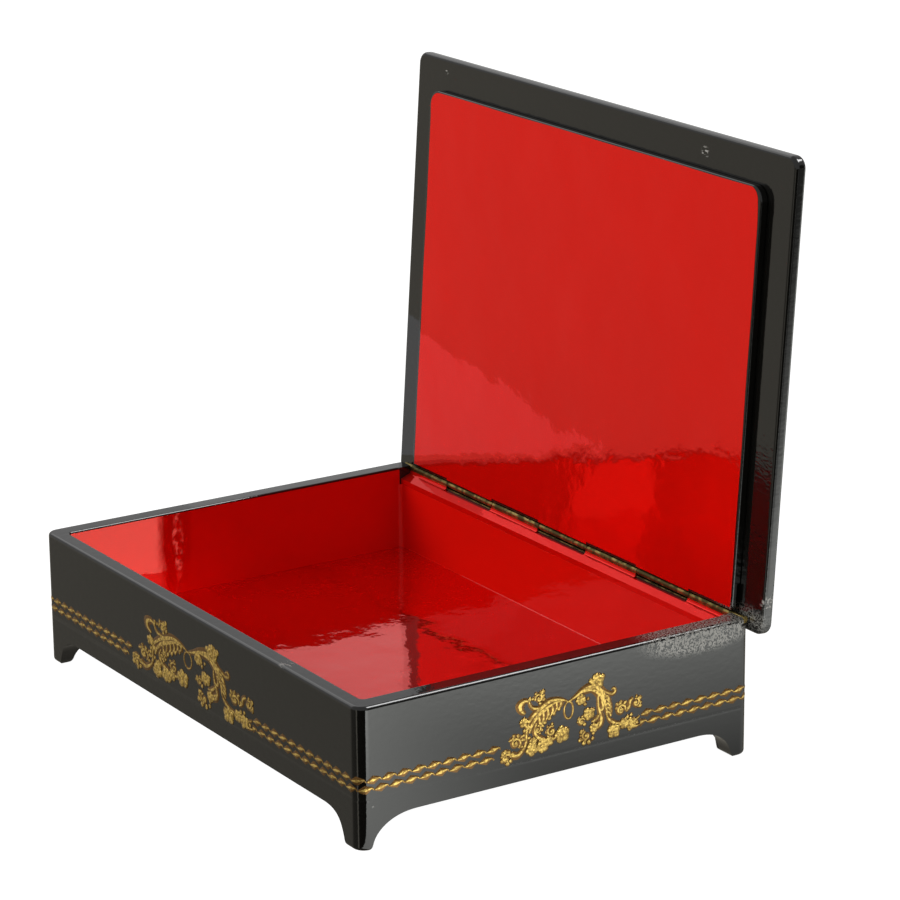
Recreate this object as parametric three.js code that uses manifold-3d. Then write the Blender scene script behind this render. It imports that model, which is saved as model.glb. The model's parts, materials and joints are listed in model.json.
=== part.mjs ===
// A footed lacquer casket with a hinged lid, shown standing open.
// Millimetres, +Z up. The front wall faces -Y, and the lid is hinged along the back wall.
// Pieces are drawn with the front left corner of the case at X = 0, Y = 0 and the table at Z = 0,
// and the whole box is then moved so that the origin is the bottom centre of its open outline.

import * as THREE from 'three';
import { mergeVertices } from 'three/addons/utils/BufferGeometryUtils.js';
import Module from 'manifold-3d';

const wasm = await Module();
wasm.setup();

// The case: outside sizes
const caseWidth = 200;
const caseDepth = 142;
const rimHeight = 45;
const cornerRadius = 2.5;
const rimRound = 1.2;

// The case: walls and floor
const sideWall = 6.5;
const frontWall = 5.5;
const backWall = 6.5;
const innerCornerRadius = 1.5;
const floorTop = 16;
const floorThickness = 3.6;
const floorLedge = 3;
const fitGap = 0.3;

// The skirt and its bracket feet
const skirtWall = 6.5;
const skirtHeight = 10;
const footTip = 5;
const footReach = 20;
const footTipRound = 0.8;
const footWaistWidth = 7.2;
const footWaistHeight = 6.2;
const footShoulder = 11.5;

// The lid and the raised panel on its inner face
const lidThickness = 4;
const lidSideOverhang = 5.4;
const lidFrontOverhang = 4.7;
const lidBackOverhang = 2.8;
const lidCornerRadius = 4;
const lidEdgeRound = 1.3;
const lidSeat = 0.3;
const plugStand = 2.7;
const plugWallClearance = 0.6;
const plugFrontClearance = 1;
const plugCornerRadius = 5;
const plugHingeCornerRadius = 1.2;
const plugEdgeRound = 0.6;
const openAngle = 94;

// The piano hinge
const barrelRadius = 1.1;
const boreRadius = 0.7;
const pinRadius = 0.55;
const hingeInset = 1.1;
const hingeDrop = 1.2;
const hingeEndInset = 1.5;
const knuckleCount = 7;
const knuckleGap = 0.3;
const barrelClearance = 0.3;
const leafThickness = 0.6;
const boxLeafDepth = 8.5;
const lidLeafReach = 9.5;
const lidLeafEndInset = 18;
const leafClearance = 0.3;
const slotSkin = 1.2;

// How finely the round stretches are drawn
const cornerSteps = 7;
const edgeSteps = 4;
const roundSides = 20;
const footCurveSteps = 9;
const leastCornerRadius = 0.2;
const weldDistance = 1e-4;

// Places worked out from the sizes above
const axisY = caseDepth - hingeInset;
const axisZ = rimHeight - hingeDrop;
const plugFace = rimHeight + lidSeat - plugStand;
const loweredRim = Math.min(axisZ - barrelRadius - barrelClearance, plugFace - fitGap);
const lidInnerFace = hingeDrop + lidSeat;
const floorBottom = floorTop - floorThickness;
const hingeLength = caseWidth - 2 * hingeEndInset;
const knucklePitch = hingeLength / knuckleCount;
const cutMargin = 5;
const openRadians = THREE.MathUtils.degToRad(openAngle);
const lidReach = axisY + lidFrontOverhang;
const openBack =
  axisY + lidReach * -Math.cos(openRadians) + (lidInnerFace + lidThickness) * Math.sin(openRadians);

const lacquerBlack = new THREE.MeshStandardMaterial({ color: 0x17140f, roughness: 0.16, metalness: 0 });
const lacquerRed = new THREE.MeshStandardMaterial({ color: 0xb01208, roughness: 0.14, metalness: 0 });
const hingeBrass = new THREE.MeshStandardMaterial({ color: 0x9a7a36, roughness: 0.42, metalness: 1 });

// Turns a three.js geometry into a closed solid that can be cut and joined.
function toSolid(geometry, matrix = new THREE.Matrix4()) {
  const bare = geometry.index ? geometry.toNonIndexed() : geometry.clone();
  bare.deleteAttribute('normal');
  bare.deleteAttribute('uv');
  bare.applyMatrix4(matrix);
  const merged = mergeVertices(bare, weldDistance);
  return new wasm.Manifold(new wasm.Mesh({
    numProp: 3,
    vertProperties: new Float32Array(merged.attributes.position.array),
    triVerts: new Uint32Array(merged.index.array),
  }));
}

function toGeometry(solid) {
  const mesh = solid.getMesh();
  const geometry = new THREE.BufferGeometry();
  geometry.setAttribute('position', new THREE.BufferAttribute(mesh.vertProperties, 3));
  geometry.setIndex(new THREE.BufferAttribute(mesh.triVerts, 1));
  geometry.computeVertexNormals();
  return geometry;
}

function namedMesh(name, geometry, material) {
  const mesh = new THREE.Mesh(geometry, material);
  mesh.name = name;
  return mesh;
}

// A box given by its lowest and highest corners.
function blockSolid(low, high) {
  const size = high.map((value, axis) => value - low[axis]);
  const centre = low.map((value, axis) => value + size[axis] / 2);
  return toSolid(new THREE.BoxGeometry(...size), new THREE.Matrix4().makeTranslation(...centre));
}

// One closed loop of points round a rectangle with rounded corners, drawn in from its outline.
// The two corners at the back may have a radius of their own.
function roundedLoop(outline, inset) {
  const { radius, backRadius = radius } = outline;
  const corners = [
    [outline.x1, -1, outline.y1, -1, backRadius],
    [outline.x0, 1, outline.y1, -1, backRadius],
    [outline.x0, 1, outline.y0, 1, radius],
    [outline.x1, -1, outline.y0, 1, radius],
  ];
  const loop = [];
  corners.forEach(([sideX, inwardX, sideY, inwardY, ownRadius], corner) => {
    const rounding = Math.max(ownRadius - inset, leastCornerRadius);
    const centreX = sideX + inwardX * (inset + rounding);
    const centreY = sideY + inwardY * (inset + rounding);
    for (let step = 0; step <= cornerSteps; step += 1) {
      const angle = (corner + step / cornerSteps) * Math.PI / 2;
      loop.push([centreX + rounding * Math.cos(angle), centreY + rounding * Math.sin(angle)]);
    }
  });
  return loop;
}

// A panel whose edge follows a profile: each ring is an inset from the outline at a height.
function profiledPanel(outline, profile) {
  const rings = profile.map(([inset, z]) => roundedLoop(outline, inset).map(([x, y]) => [x, y, z]));
  const count = rings[0].length;
  const positions = rings.flat(2);
  const faces = [];
  for (let ring = 0; ring < rings.length - 1; ring += 1) {
    for (let point = 0; point < count; point += 1) {
      const next = (point + 1) % count;
      const a = ring * count + point;
      const b = ring * count + next;
      faces.push(a, b, b + count, a, b + count, a + count);
    }
  }
  const top = (rings.length - 1) * count;
  for (let point = 1; point < count - 1; point += 1) {
    faces.push(0, point + 1, point);
    faces.push(top, top + point, top + point + 1);
  }
  const geometry = new THREE.BufferGeometry();
  geometry.setAttribute('position', new THREE.Float32BufferAttribute(positions, 3));
  geometry.setIndex(faces);
  return geometry;
}

// The rings of a quarter-round edge between a flat face and an upright side.
function roundedEdge(faceZ, towards, radius) {
  const rings = [];
  for (let step = 0; step <= edgeSteps; step += 1) {
    const angle = (step / edgeSteps) * Math.PI / 2;
    rings.push([radius * (1 - Math.sin(angle)), faceZ + towards * radius * (1 - Math.cos(angle))]);
  }
  return rings;
}

const caseOutline = { x0: 0, y0: 0, x1: caseWidth, y1: caseDepth, radius: cornerRadius };

// The outline of the case drawn in evenly, with its own corner radius.
function insetOutline(inset, radius) {
  return { x0: inset, y0: inset, x1: caseWidth - inset, y1: caseDepth - inset, radius };
}

// The wall ring, with its rim lowered along the back to take the hinge and the lid's panel.
function makeCaseWalls() {
  const topEdge = roundedEdge(rimHeight, -1, rimRound).reverse();
  const outside = toSolid(profiledPanel(caseOutline, [[0, floorTop], ...topEdge]));
  const cavity = {
    x0: sideWall,
    y0: frontWall,
    x1: caseWidth - sideWall,
    y1: caseDepth - backWall,
    radius: innerCornerRadius,
  };
  const inside = toSolid(profiledPanel(cavity, [[0, floorTop - cutMargin], [0, rimHeight + cutMargin]]));
  const barrelSeatY = axisY - barrelRadius - barrelClearance;
  const barrelSeat = blockSolid(
    [-cutMargin, barrelSeatY, loweredRim],
    [caseWidth + cutMargin, caseDepth + cutMargin, rimHeight + cutMargin],
  );
  const panelSeat = blockSolid(
    [sideWall, caseDepth - backWall - cutMargin, loweredRim],
    [caseWidth - sideWall, caseDepth, rimHeight + cutMargin],
  );
  const slotY = axisY - barrelRadius - leafClearance;
  const leafSlot = blockSolid(
    [slotSkin, slotY, axisZ - boxLeafDepth - leafClearance],
    [caseWidth - slotSkin, slotY + leafThickness + 2 * leafClearance, rimHeight],
  );
  return toGeometry(outside.subtract(inside).subtract(barrelSeat).subtract(panelSeat).subtract(leafSlot));
}

// The space between two feet, seen square on: a flat skirt edge and a curve down each foot.
function footArch(length) {
  const arch = new THREE.Shape();
  const waist = footReach - footShoulder;
  arch.moveTo(footTip - footTipRound, -cutMargin);
  arch.lineTo(footTip - footTipRound, 0);
  arch.quadraticCurveTo(footTip, 0, footTip + footTipRound / 2, footTipRound * 2);
  arch.bezierCurveTo(
    footWaistWidth, footWaistHeight,
    footReach - waist, skirtHeight,
    footReach, skirtHeight,
  );
  arch.lineTo(length - footReach, skirtHeight);
  arch.bezierCurveTo(
    length - footReach + waist, skirtHeight,
    length - footWaistWidth, footWaistHeight,
    length - footTip - footTipRound / 2, footTipRound * 2,
  );
  arch.quadraticCurveTo(length - footTip, 0, length - footTip + footTipRound, 0);
  arch.lineTo(length - footTip + footTipRound, -cutMargin);
  return arch;
}

// An arch pushed right through the base, either from front to back or from side to side.
function archCutter(length, through, turn) {
  const geometry = new THREE.ExtrudeGeometry(footArch(length), {
    depth: through + 2 * cutMargin,
    bevelEnabled: false,
    curveSegments: footCurveSteps,
  });
  geometry.translate(0, 0, -cutMargin);
  const toUpright = new THREE.Matrix4().makeBasis(
    turn ? new THREE.Vector3(0, 1, 0) : new THREE.Vector3(1, 0, 0),
    new THREE.Vector3(0, 0, 1),
    turn ? new THREE.Vector3(1, 0, 0) : new THREE.Vector3(0, -1, 0),
  );
  const place = new THREE.Matrix4().makeTranslation(0, turn ? 0 : through, 0);
  return toSolid(geometry, place.multiply(toUpright));
}

// The base: a skirt on four bracket feet, with a ledge that the floor panel lies on.
function makeBaseFrame() {
  const bottomEdge = roundedEdge(0, 1, footTipRound);
  const outside = toSolid(profiledPanel(caseOutline, [...bottomEdge, [0, floorTop]]));
  const recess = toSolid(profiledPanel(
    insetOutline(skirtWall, innerCornerRadius),
    [[0, -cutMargin], [0, floorTop + cutMargin]],
  ));
  const ledge = toSolid(profiledPanel(
    insetOutline(floorLedge, innerCornerRadius),
    [[0, floorBottom], [0, floorTop + cutMargin]],
  ));
  return toGeometry(outside
    .subtract(recess)
    .subtract(ledge)
    .subtract(archCutter(caseWidth, caseDepth, false))
    .subtract(archCutter(caseDepth, caseWidth, true)));
}

// The floor panel lies on the ledge, and the walls stand over its edge.
function makeFloorPanel() {
  const outline = insetOutline(floorLedge + fitGap, innerCornerRadius);
  return toGeometry(toSolid(profiledPanel(outline, [[0, floorBottom], [0, floorTop]])));
}

// The lid in its closed place, before it is turned up about the hinge.
function makeLidPanel() {
  const outline = {
    x0: -lidSideOverhang,
    y0: -lidFrontOverhang,
    x1: caseWidth + lidSideOverhang,
    y1: caseDepth + lidBackOverhang,
    radius: lidCornerRadius,
  };
  const low = rimHeight + lidSeat;
  const bottomEdge = roundedEdge(low, 1, lidEdgeRound);
  const topEdge = roundedEdge(low + lidThickness, -1, lidEdgeRound).reverse();
  return toGeometry(toSolid(profiledPanel(outline, [...bottomEdge, ...topEdge])));
}

// The raised panel under the lid, which drops inside the rim and is rebated over the hinge leaf.
function makeLidPlug() {
  const outline = {
    x0: sideWall + plugWallClearance,
    y0: frontWall + plugFrontClearance,
    x1: caseWidth - sideWall - plugWallClearance,
    y1: axisY - barrelRadius - barrelClearance,
    radius: plugCornerRadius,
    backRadius: plugHingeCornerRadius,
  };
  const high = rimHeight + lidSeat - fitGap;
  const bottomEdge = roundedEdge(plugFace, 1, plugEdgeRound);
  const panel = toSolid(profiledPanel(outline, [...bottomEdge, [0, high]]));
  const rebate = blockSolid(
    [-cutMargin, axisY - lidLeafReach - leafClearance, axisZ + barrelRadius - leafThickness - leafClearance],
    [caseWidth + cutMargin, caseDepth + cutMargin, rimHeight + cutMargin],
  );
  return toGeometry(panel.subtract(rebate));
}

function knuckleStart(index) {
  return hingeEndInset + index * knucklePitch + knuckleGap / 2;
}

function knuckleEnd(index) {
  return hingeEndInset + (index + 1) * knucklePitch - knuckleGap / 2;
}

// One rolled knuckle round the hinge line.
function knuckle(index) {
  const ring = new THREE.Shape();
  ring.absarc(0, 0, barrelRadius, 0, Math.PI * 2, false);
  const bore = new THREE.Path();
  bore.absarc(0, 0, boreRadius, 0, Math.PI * 2, true);
  ring.holes.push(bore);
  const geometry = new THREE.ExtrudeGeometry(ring, {
    depth: knuckleEnd(index) - knuckleStart(index),
    bevelEnabled: false,
    curveSegments: roundSides / 2,
  });
  const along = new THREE.Matrix4().makeBasis(
    new THREE.Vector3(0, 1, 0),
    new THREE.Vector3(0, 0, 1),
    new THREE.Vector3(1, 0, 0),
  );
  const place = new THREE.Matrix4().makeTranslation(knuckleStart(index), axisY, axisZ);
  return toSolid(geometry, place.multiply(along));
}

// A hinge leaf: a plate with a tongue up to each of its own knuckles, which roll round the pin.
function makeLeaf(ownKnuckles, endInset, plateLow, plateHigh, tongueLow, tongueHigh) {
  let leaf = blockSolid([endInset, ...plateLow], [caseWidth - endInset, ...plateHigh]);
  for (const index of ownKnuckles) {
    leaf = leaf.add(blockSolid([knuckleStart(index), ...tongueLow], [knuckleEnd(index), ...tongueHigh]));
    leaf = leaf.add(knuckle(index));
  }
  const bore = new THREE.CylinderGeometry(boreRadius, boreRadius, caseWidth, roundSides);
  bore.rotateZ(Math.PI / 2);
  const placed = new THREE.Matrix4().makeTranslation(caseWidth / 2, axisY, axisZ);
  return toGeometry(leaf.subtract(toSolid(bore, placed)));
}

const knuckleIndexes = [...Array(knuckleCount).keys()];
const leafEdge = barrelRadius + barrelClearance;

// The box leaf stands in a slot in the back wall, level with the inner side of the barrel.
function makeBoxLeaf() {
  const y0 = axisY - barrelRadius;
  const y1 = y0 + leafThickness;
  return makeLeaf(
    knuckleIndexes.filter((index) => index % 2 === 0),
    hingeEndInset,
    [y0, axisZ - boxLeafDepth],
    [y1, axisZ - leafEdge],
    [y0, axisZ - leafEdge],
    [y1, axisZ],
  );
}

// The lid leaf lies along the lid's inner face, covered by the raised panel.
function makeLidLeaf() {
  const z1 = axisZ + barrelRadius;
  const z0 = z1 - leafThickness;
  return makeLeaf(
    knuckleIndexes.filter((index) => index % 2 === 1),
    lidLeafEndInset,
    [axisY - lidLeafReach, z0],
    [axisY - leafEdge, z1],
    [axisY - leafEdge, z0],
    [axisY, z1],
  );
}

function makeHingePin() {
  const pin = new THREE.CylinderGeometry(pinRadius, pinRadius, hingeLength - knuckleGap, roundSides);
  pin.rotateZ(Math.PI / 2);
  pin.translate(caseWidth / 2, axisY, axisZ);
  return pin;
}

// The box: everything that stays still
const box = new THREE.Group();
box.add(namedMesh('case_walls', makeCaseWalls(), lacquerBlack));
box.add(namedMesh('base_frame', makeBaseFrame(), lacquerBlack));
box.add(namedMesh('floor_panel', makeFloorPanel(), lacquerRed));
box.add(namedMesh('hinge_box_leaf', makeBoxLeaf(), hingeBrass));
box.add(namedMesh('hinge_pin', makeHingePin(), hingeBrass));

// The lid: drawn closed, then turned up about the hinge line until it meets the back wall
const lidPieces = new THREE.Group();
lidPieces.add(namedMesh('lid_panel', makeLidPanel(), lacquerBlack));
lidPieces.add(namedMesh('lid_plug', makeLidPlug(), lacquerRed));
lidPieces.add(namedMesh('hinge_lid_leaf', makeLidLeaf(), hingeBrass));
lidPieces.position.set(0, -axisY, -axisZ);
const lidHinge = new THREE.Group();
lidHinge.add(lidPieces);
lidHinge.position.set(0, axisY, axisZ);
lidHinge.rotation.x = -openRadians;

const casket = new THREE.Group();
casket.add(box, lidHinge);
casket.position.set(-caseWidth / 2, -openBack / 2, 0);

const part = new THREE.Group();
part.add(casket);

export default part;
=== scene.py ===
"""A footed lacquer casket, standing open: the finished surfaces round its fixed frame.

The case, base, lid and hinge are drawn at their real size in metres, from the boxes of the frame's own
pieces. Lid pieces are drawn shut and are then turned up about the hinge line.
"""

import json
import math

import bmesh
import bpy
from bpy.props import FloatProperty, FloatVectorProperty, IntProperty, PointerProperty
from mathutils import Matrix, Vector


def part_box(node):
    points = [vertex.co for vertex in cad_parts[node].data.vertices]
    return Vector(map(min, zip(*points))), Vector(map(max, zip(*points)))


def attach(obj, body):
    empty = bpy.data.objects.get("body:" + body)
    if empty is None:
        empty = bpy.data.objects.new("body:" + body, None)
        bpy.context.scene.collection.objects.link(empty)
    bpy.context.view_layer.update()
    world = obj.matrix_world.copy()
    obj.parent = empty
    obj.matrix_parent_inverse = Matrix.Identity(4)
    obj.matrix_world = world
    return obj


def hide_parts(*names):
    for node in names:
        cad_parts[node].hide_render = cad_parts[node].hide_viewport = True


bl_info = {
    "name": "Lacquer Casket",
    "version": (1, 0, 0),
    "blender": (4, 5, 0),
    "location": "View3D > Sidebar > Casket",
    "description": "Builds the finished surfaces of a footed lacquer casket round its fixed frame",
    "category": "Object",
}

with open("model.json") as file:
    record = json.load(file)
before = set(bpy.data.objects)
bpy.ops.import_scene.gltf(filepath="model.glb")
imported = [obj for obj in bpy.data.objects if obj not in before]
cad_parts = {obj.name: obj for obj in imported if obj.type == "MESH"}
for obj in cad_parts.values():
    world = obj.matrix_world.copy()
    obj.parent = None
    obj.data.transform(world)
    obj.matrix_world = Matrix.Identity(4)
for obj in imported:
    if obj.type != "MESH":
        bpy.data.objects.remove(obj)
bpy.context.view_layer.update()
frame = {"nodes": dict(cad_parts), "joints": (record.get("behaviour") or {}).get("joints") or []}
MM = 0.001

# Edges that turn by more than this stay sharp, and no corner is rounded by less than this
SHARP_ANGLE = math.radians(35)
SMALLEST_ROUND = 0.0002

# How much of the red lacquer's shine has its own colour, on the lid, the floor and the walls
RED_SHINE = 0.5
FLOOR_SHINE = 0.6
WALL_SHINE = 0.1

# Places that come from the frame
CASE_LOW, CASE_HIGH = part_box("case_walls")
FLOOR_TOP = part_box("floor_panel")[1].z
HINGE = frame["joints"][0]
HINGE_POINT = Vector(HINGE["pos_m"])
OPENING = math.radians(HINGE["range_deg"][1])
LID_TURN = (
    Matrix.Translation(HINGE_POINT)
    @ Matrix.Rotation(-OPENING, 4, "X")
    @ Matrix.Translation(-HINGE_POINT)
)


def shut_box(node):
    """The lowest and highest corners of a lid node when the lid is shut."""
    to_shut = LID_TURN.inverted()
    places = [to_shut @ vertex.co for vertex in frame["nodes"][node].data.vertices]
    return Vector(map(min, zip(*places))), Vector(map(max, zip(*places)))


LID_LOW, LID_HIGH = shut_box("lid_panel")
PLUG_LOW, PLUG_HIGH = shut_box("lid_plug")


def length(name, description, millimetres):
    """A size that the user may change, shown in the scene's length unit."""
    return FloatProperty(
        name=name, description=description, default=millimetres * MM, unit="LENGTH", precision=5
    )


def paint(name, description, colour):
    """A colour that the user may change."""
    return FloatVectorProperty(
        name=name, description=description, default=colour, subtype="COLOR", size=3, min=0, max=1
    )


class CasketSizes(bpy.types.PropertyGroup):
    """Sizes of the case, base and lid"""

    side_wall: length("Side wall", "Thickness of the two side walls", 6.5)
    front_wall: length("Front wall", "Thickness of the front wall", 5.5)
    back_wall: length("Back wall", "Thickness of the back wall", 6.5)
    corner: length("Case corner", "Radius of the case's upright corners", 4.0)
    inner_corner: length("Inner corner", "Radius of the corners inside the case", 1.5)
    rim_round: length("Rim round", "Radius of the rim's outer edge", 1.2)
    rim_inner_round: length("Rim inner round", "Radius of the rim's inner edge", 0.7)
    lining: length("Lining", "Thickness of the red lining", 0.28)
    capping_depth: length("Capping depth", "Height of the red capping on the back wall", 6.0)
    capping_slope: length("Capping slope", "Width of the capping's sloping top", 3.5)
    capping_drop: length("Capping drop", "How far the capping's top slopes down", 1.4)
    hinge_notch: length("Hinge notch", "Depth of the cuts that clear the knuckles", 0.45)
    bead: length("Bead", "Radius of the lacquer pooled along the floor's back edge", 0.3)
    soft_edge: length("Soft edge", "How far the lacquer rounds a cut edge", 0.22)
    skirt: length("Skirt wall", "Thickness of the skirt", 6.5)
    skirt_height: length("Skirt height", "Height of the skirt's lower edge above the table", 10)
    long_foot_tip: length("Long face foot tip", "Width of the feet's tips on the long faces", 8.0)
    front_foot_tip: length("Front foot tip", "Width of the front feet's tips on the short faces", 4.4)
    back_foot_tip: length("Back foot tip", "Width of the back feet's tips on the short faces", 6.6)
    foot_reach: length("Foot reach", "Distance from the corner to where the skirt runs level", 20)
    foot_tip_round: length("Foot tip round", "Radius of the foot's tip", 1.2)
    foot_waist: length("Foot waist", "How much wider a foot is at its narrow part than at its tip", 2.0)
    foot_waist_height: length("Foot waist height", "Height of a foot's narrow part", 6.2)
    foot_shoulder: length("Foot shoulder", "Where the foot's curve starts to level out", 11.5)
    ledge: length("Ledge", "How far the ledge for the floor is set in", 3)
    lid_corner: length("Lid corner", "Radius of the lid's corners", 4)
    lid_edge: length("Lid edge", "Radius of the lid's edges", 1.3)
    panel_corner: length("Panel corner", "Radius of the raised panel's outer corners", 5)
    panel_hinge_corner: length("Panel hinge corner", "Radius of the raised panel's hinge corners", 1.2)
    panel_edge: length("Panel edge", "Radius of the raised panel's edge", 0.6)
    field_inset: length("Field inset", "Black line left round the red field", 0.5)
    field_thickness: length("Field thickness", "Thickness of the red field's lacquer", 0.1)


class HingeSizes(bpy.types.PropertyGroup):
    """Sizes of the brass piano hinge"""

    barrel: length("Barrel", "Radius of the rolled barrel", 1.1)
    sheet: length("Sheet", "Thickness of the rolled brass sheet", 0.45)
    clearance: length("Clearance", "Gap round the barrel", 0.3)
    end_inset: length("End inset", "Distance of the hinge's ends from the case's sides", 1.5)
    knuckle_gap: length("Knuckle gap", "Gap between two knuckles", 0.3)
    leaf: length("Leaf", "Thickness of a leaf's plate", 0.6)
    box_leaf_depth: length("Box leaf depth", "How far the box leaf stands in the wall", 8.5)
    lid_leaf_reach: length("Lid leaf reach", "How far the lid leaf lies under the raised panel", 9.5)
    lid_leaf_inset: length("Lid leaf inset", "Distance of the lid leaf's ends from the sides", 18)
    count: IntProperty(name="Knuckles", description="Number of knuckles", default=7, min=3)


class OrnamentSizes(bpy.types.PropertyGroup):
    """Sizes of the gold brush work"""

    upper_row: length("Upper row", "Height of the upper stripe above the table", 22.1)
    lower_row: length("Lower row", "Height of the lower stripe above the table", 19.3)
    stroke_pitch: length("Stroke pitch", "Distance from one stroke to the next", 5)
    stroke_length: length("Stroke length", "Length of one stroke of a stripe", 4.3)
    stroke_width: length("Stroke width", "Greatest width of a stroke", 1.5)
    relief: length("Relief", "How far the gold stands up", 0.14)
    front_scroll: length("Front scroll", "Width of the scroll on the front and back", 79)
    side_scroll: length("Side scroll", "Width of the scroll on the two sides", 51.5)
    front_loop: length("Front loop", "Where the long faces' loop hangs, from their left end", 98)
    side_loop: length("Side loop", "Where the short faces' loop hangs, from their left end", 73.9)


class CasketColours(bpy.types.PropertyGroup):
    """Colours of the finishes"""

    black: paint("Black lacquer", "Body colour of the black lacquer", (0.004, 0.0038, 0.0032))
    red: paint("Red lacquer", "Body colour of the red lacquer", (0.85, 0.008, 0.003))
    brass: paint("Brass", "Colour of the hinge", (0.42, 0.30, 0.10))
    tarnish: paint("Tarnish", "Colour of the hinge's tarnish", (0.12, 0.10, 0.035))
    gold: paint("Gold paint", "Colour of the brush work", (0.70, 0.48, 0.12))


class StudioSettings(bpy.types.PropertyGroup):
    """Where the camera stands and how strong the light is"""

    azimuth: FloatProperty(
        name="Azimuth",
        description="Where the camera stands round the casket",
        default=math.radians(57.4771),
        subtype="ANGLE",
    )
    elevation: FloatProperty(
        name="Elevation",
        description="How far the camera looks down",
        default=math.radians(16.886),
        subtype="ANGLE",
    )
    roll: FloatProperty(
        name="Roll",
        description="Tilt of the camera about its own line of sight",
        default=math.radians(-0.5438),
        subtype="ANGLE",
    )
    place: FloatVectorProperty(
        name="Camera place",
        description="Where the camera stands",
        default=(0.93967, -0.58105, 0.4198),
        subtype="TRANSLATION",
        unit="LENGTH",
    )
    lens: FloatProperty(name="Lens", description="Focal length in millimetres", default=145.211)
    sky: FloatProperty(name="Sky", description="Strength of the even light", default=0.27)
    key: FloatProperty(name="Key", description="Power of the large soft light in watts", default=12)
    mirrored: FloatProperty(
        name="Mirrored sky", description="Brightness of the studio as the lacquer mirrors it", default=0.6
    )


class Value:
    """One socket of a material, which adds its Math nodes when it is used in an expression."""

    def __init__(self, finish, socket):
        self.finish = finish
        self.socket = socket

    def _math(self, operation, first, second):
        return self.finish.node("ShaderNodeMath", {"operation": operation}, {0: first, 1: second})[0]

    def __add__(self, other):
        return self._math("ADD", self, other)

    def __radd__(self, other):
        return self._math("ADD", other, self)

    def __sub__(self, other):
        return self._math("SUBTRACT", self, other)

    def __rsub__(self, other):
        return self._math("SUBTRACT", other, self)

    def __mul__(self, other):
        return self._math("MULTIPLY", self, other)

    def __rmul__(self, other):
        return self._math("MULTIPLY", other, self)

    def __gt__(self, other):
        return self._math("GREATER_THAN", self, other)


class Finish:
    """The node tree of a material, or of the world, under construction."""

    def __init__(self, owner):
        self.owner = owner
        owner.use_nodes = True
        self.tree = owner.node_tree
        self.tree.nodes.clear()

    @classmethod
    def named(cls, name):
        """Starts a new material."""
        return cls(bpy.data.materials.new(name))

    def node(self, kind, settings=None, sockets=None):
        """Adds one node: its settings first, then the values or links of its sockets."""
        made = self.tree.nodes.new(kind)
        for name, value in (settings or {}).items():
            if name == "stops":
                set_stops(made.color_ramp, value)
            else:
                setattr(made, name, value)
        for name, value in (sockets or {}).items():
            if isinstance(value, Value):
                self.tree.links.new(value.socket, made.inputs[name])
            else:
                made.inputs[name].default_value = value
        return Outputs(self, made)

    def place(self, stretch=(1, 1, 1)):
        """Object coordinates in millimetres, stretched along each axis."""
        spot = self.node("ShaderNodeTexCoord")["Object"]
        scale = tuple(share / MM for share in stretch)
        return self.node("ShaderNodeMapping", {}, {"Vector": spot, "Scale": scale})["Vector"]

    def noise(self, size, detail=2.0, stretch=(1, 1, 1)):
        """Noise from 0 to 1, with features of about this size in millimetres."""
        sockets = {"Vector": self.place(stretch), "Scale": 1 / size, "Detail": detail}
        return self.node("ShaderNodeTexNoise", {}, sockets)["Fac"]

    def near(self, spot, radius, stretch=(1, 1, 1)):
        """1 at a place given in millimetres, fading to 0 this far from it."""
        centre = tuple(place * share for place, share in zip(spot, stretch))
        apart = self.node(
            "ShaderNodeVectorMath", {"operation": "DISTANCE"}, {0: self.place(stretch), 1: centre}
        )["Value"]
        core = radius * 0.4
        return 1 - self.band(apart, core, radius)

    def lift(self):
        """Height above the case's outer faces and their rounded corners, in millimetres."""
        radius = sizes().corner
        middle = (CASE_LOW + CASE_HIGH) / 2 / MM
        reach = (CASE_HIGH - CASE_LOW) / 2 / MM
        flat = self.vector("MULTIPLY", self.vector("SUBTRACT", self.place(), tuple(middle)), (1, 1, 0))
        inner = (reach.x - radius / MM, reach.y - radius / MM, 0)
        past = self.vector("SUBTRACT", self.vector("ABSOLUTE", flat), inner)
        corner = self.vector("MAXIMUM", past)
        from_axis = self.node("ShaderNodeVectorMath", {"operation": "LENGTH"}, {0: corner})["Value"]
        return from_axis - radius / MM

    def vector(self, operation, first, second=(0, 0, 0)):
        """The vector that one Vector Math node gives."""
        sockets = {0: first, 1: second}
        return self.node("ShaderNodeVectorMath", {"operation": operation}, sockets)["Vector"]

    def band(self, value, low, high):
        """0 below low, 1 above high, and smooth between them."""
        return self.node(
            "ShaderNodeMapRange",
            {"interpolation_type": "SMOOTHSTEP"},
            {"Value": value, "From Min": low, "From Max": high},
        )["Result"]

    def mix(self, share, first, second):
        """A colour between two colours."""
        def whole(colour):
            return colour if isinstance(colour, Value) else (*colour, 1)

        return self.node(
            "ShaderNodeMix",
            {"data_type": "RGBA"},
            {"Factor": share, 6: whole(first), 7: whole(second)},
        )[2]

    def bump(self, height, distance):
        """A normal that follows a height, whose full swing is this many millimetres."""
        return self.node("ShaderNodeBump", {}, {"Height": height, "Distance": distance * MM})["Normal"]

    def surface(self, **sockets):
        """Ends the material with a Principled surface."""
        named = {name.replace("_", " "): value for name, value in sockets.items()}
        for name, value in named.items():
            if isinstance(value, tuple) and len(value) == 3:
                named[name] = (*value, 1)
        shader = self.node("ShaderNodeBsdfPrincipled", {}, named)["BSDF"]
        self.node("ShaderNodeOutputMaterial", {}, {"Surface": shader})
        return self.owner


class Outputs:
    """The outputs of one node, by name or number."""

    def __init__(self, finish, node):
        self.finish = finish
        self.outputs = node.outputs

    def __getitem__(self, name):
        return Value(self.finish, self.outputs[name])


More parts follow.
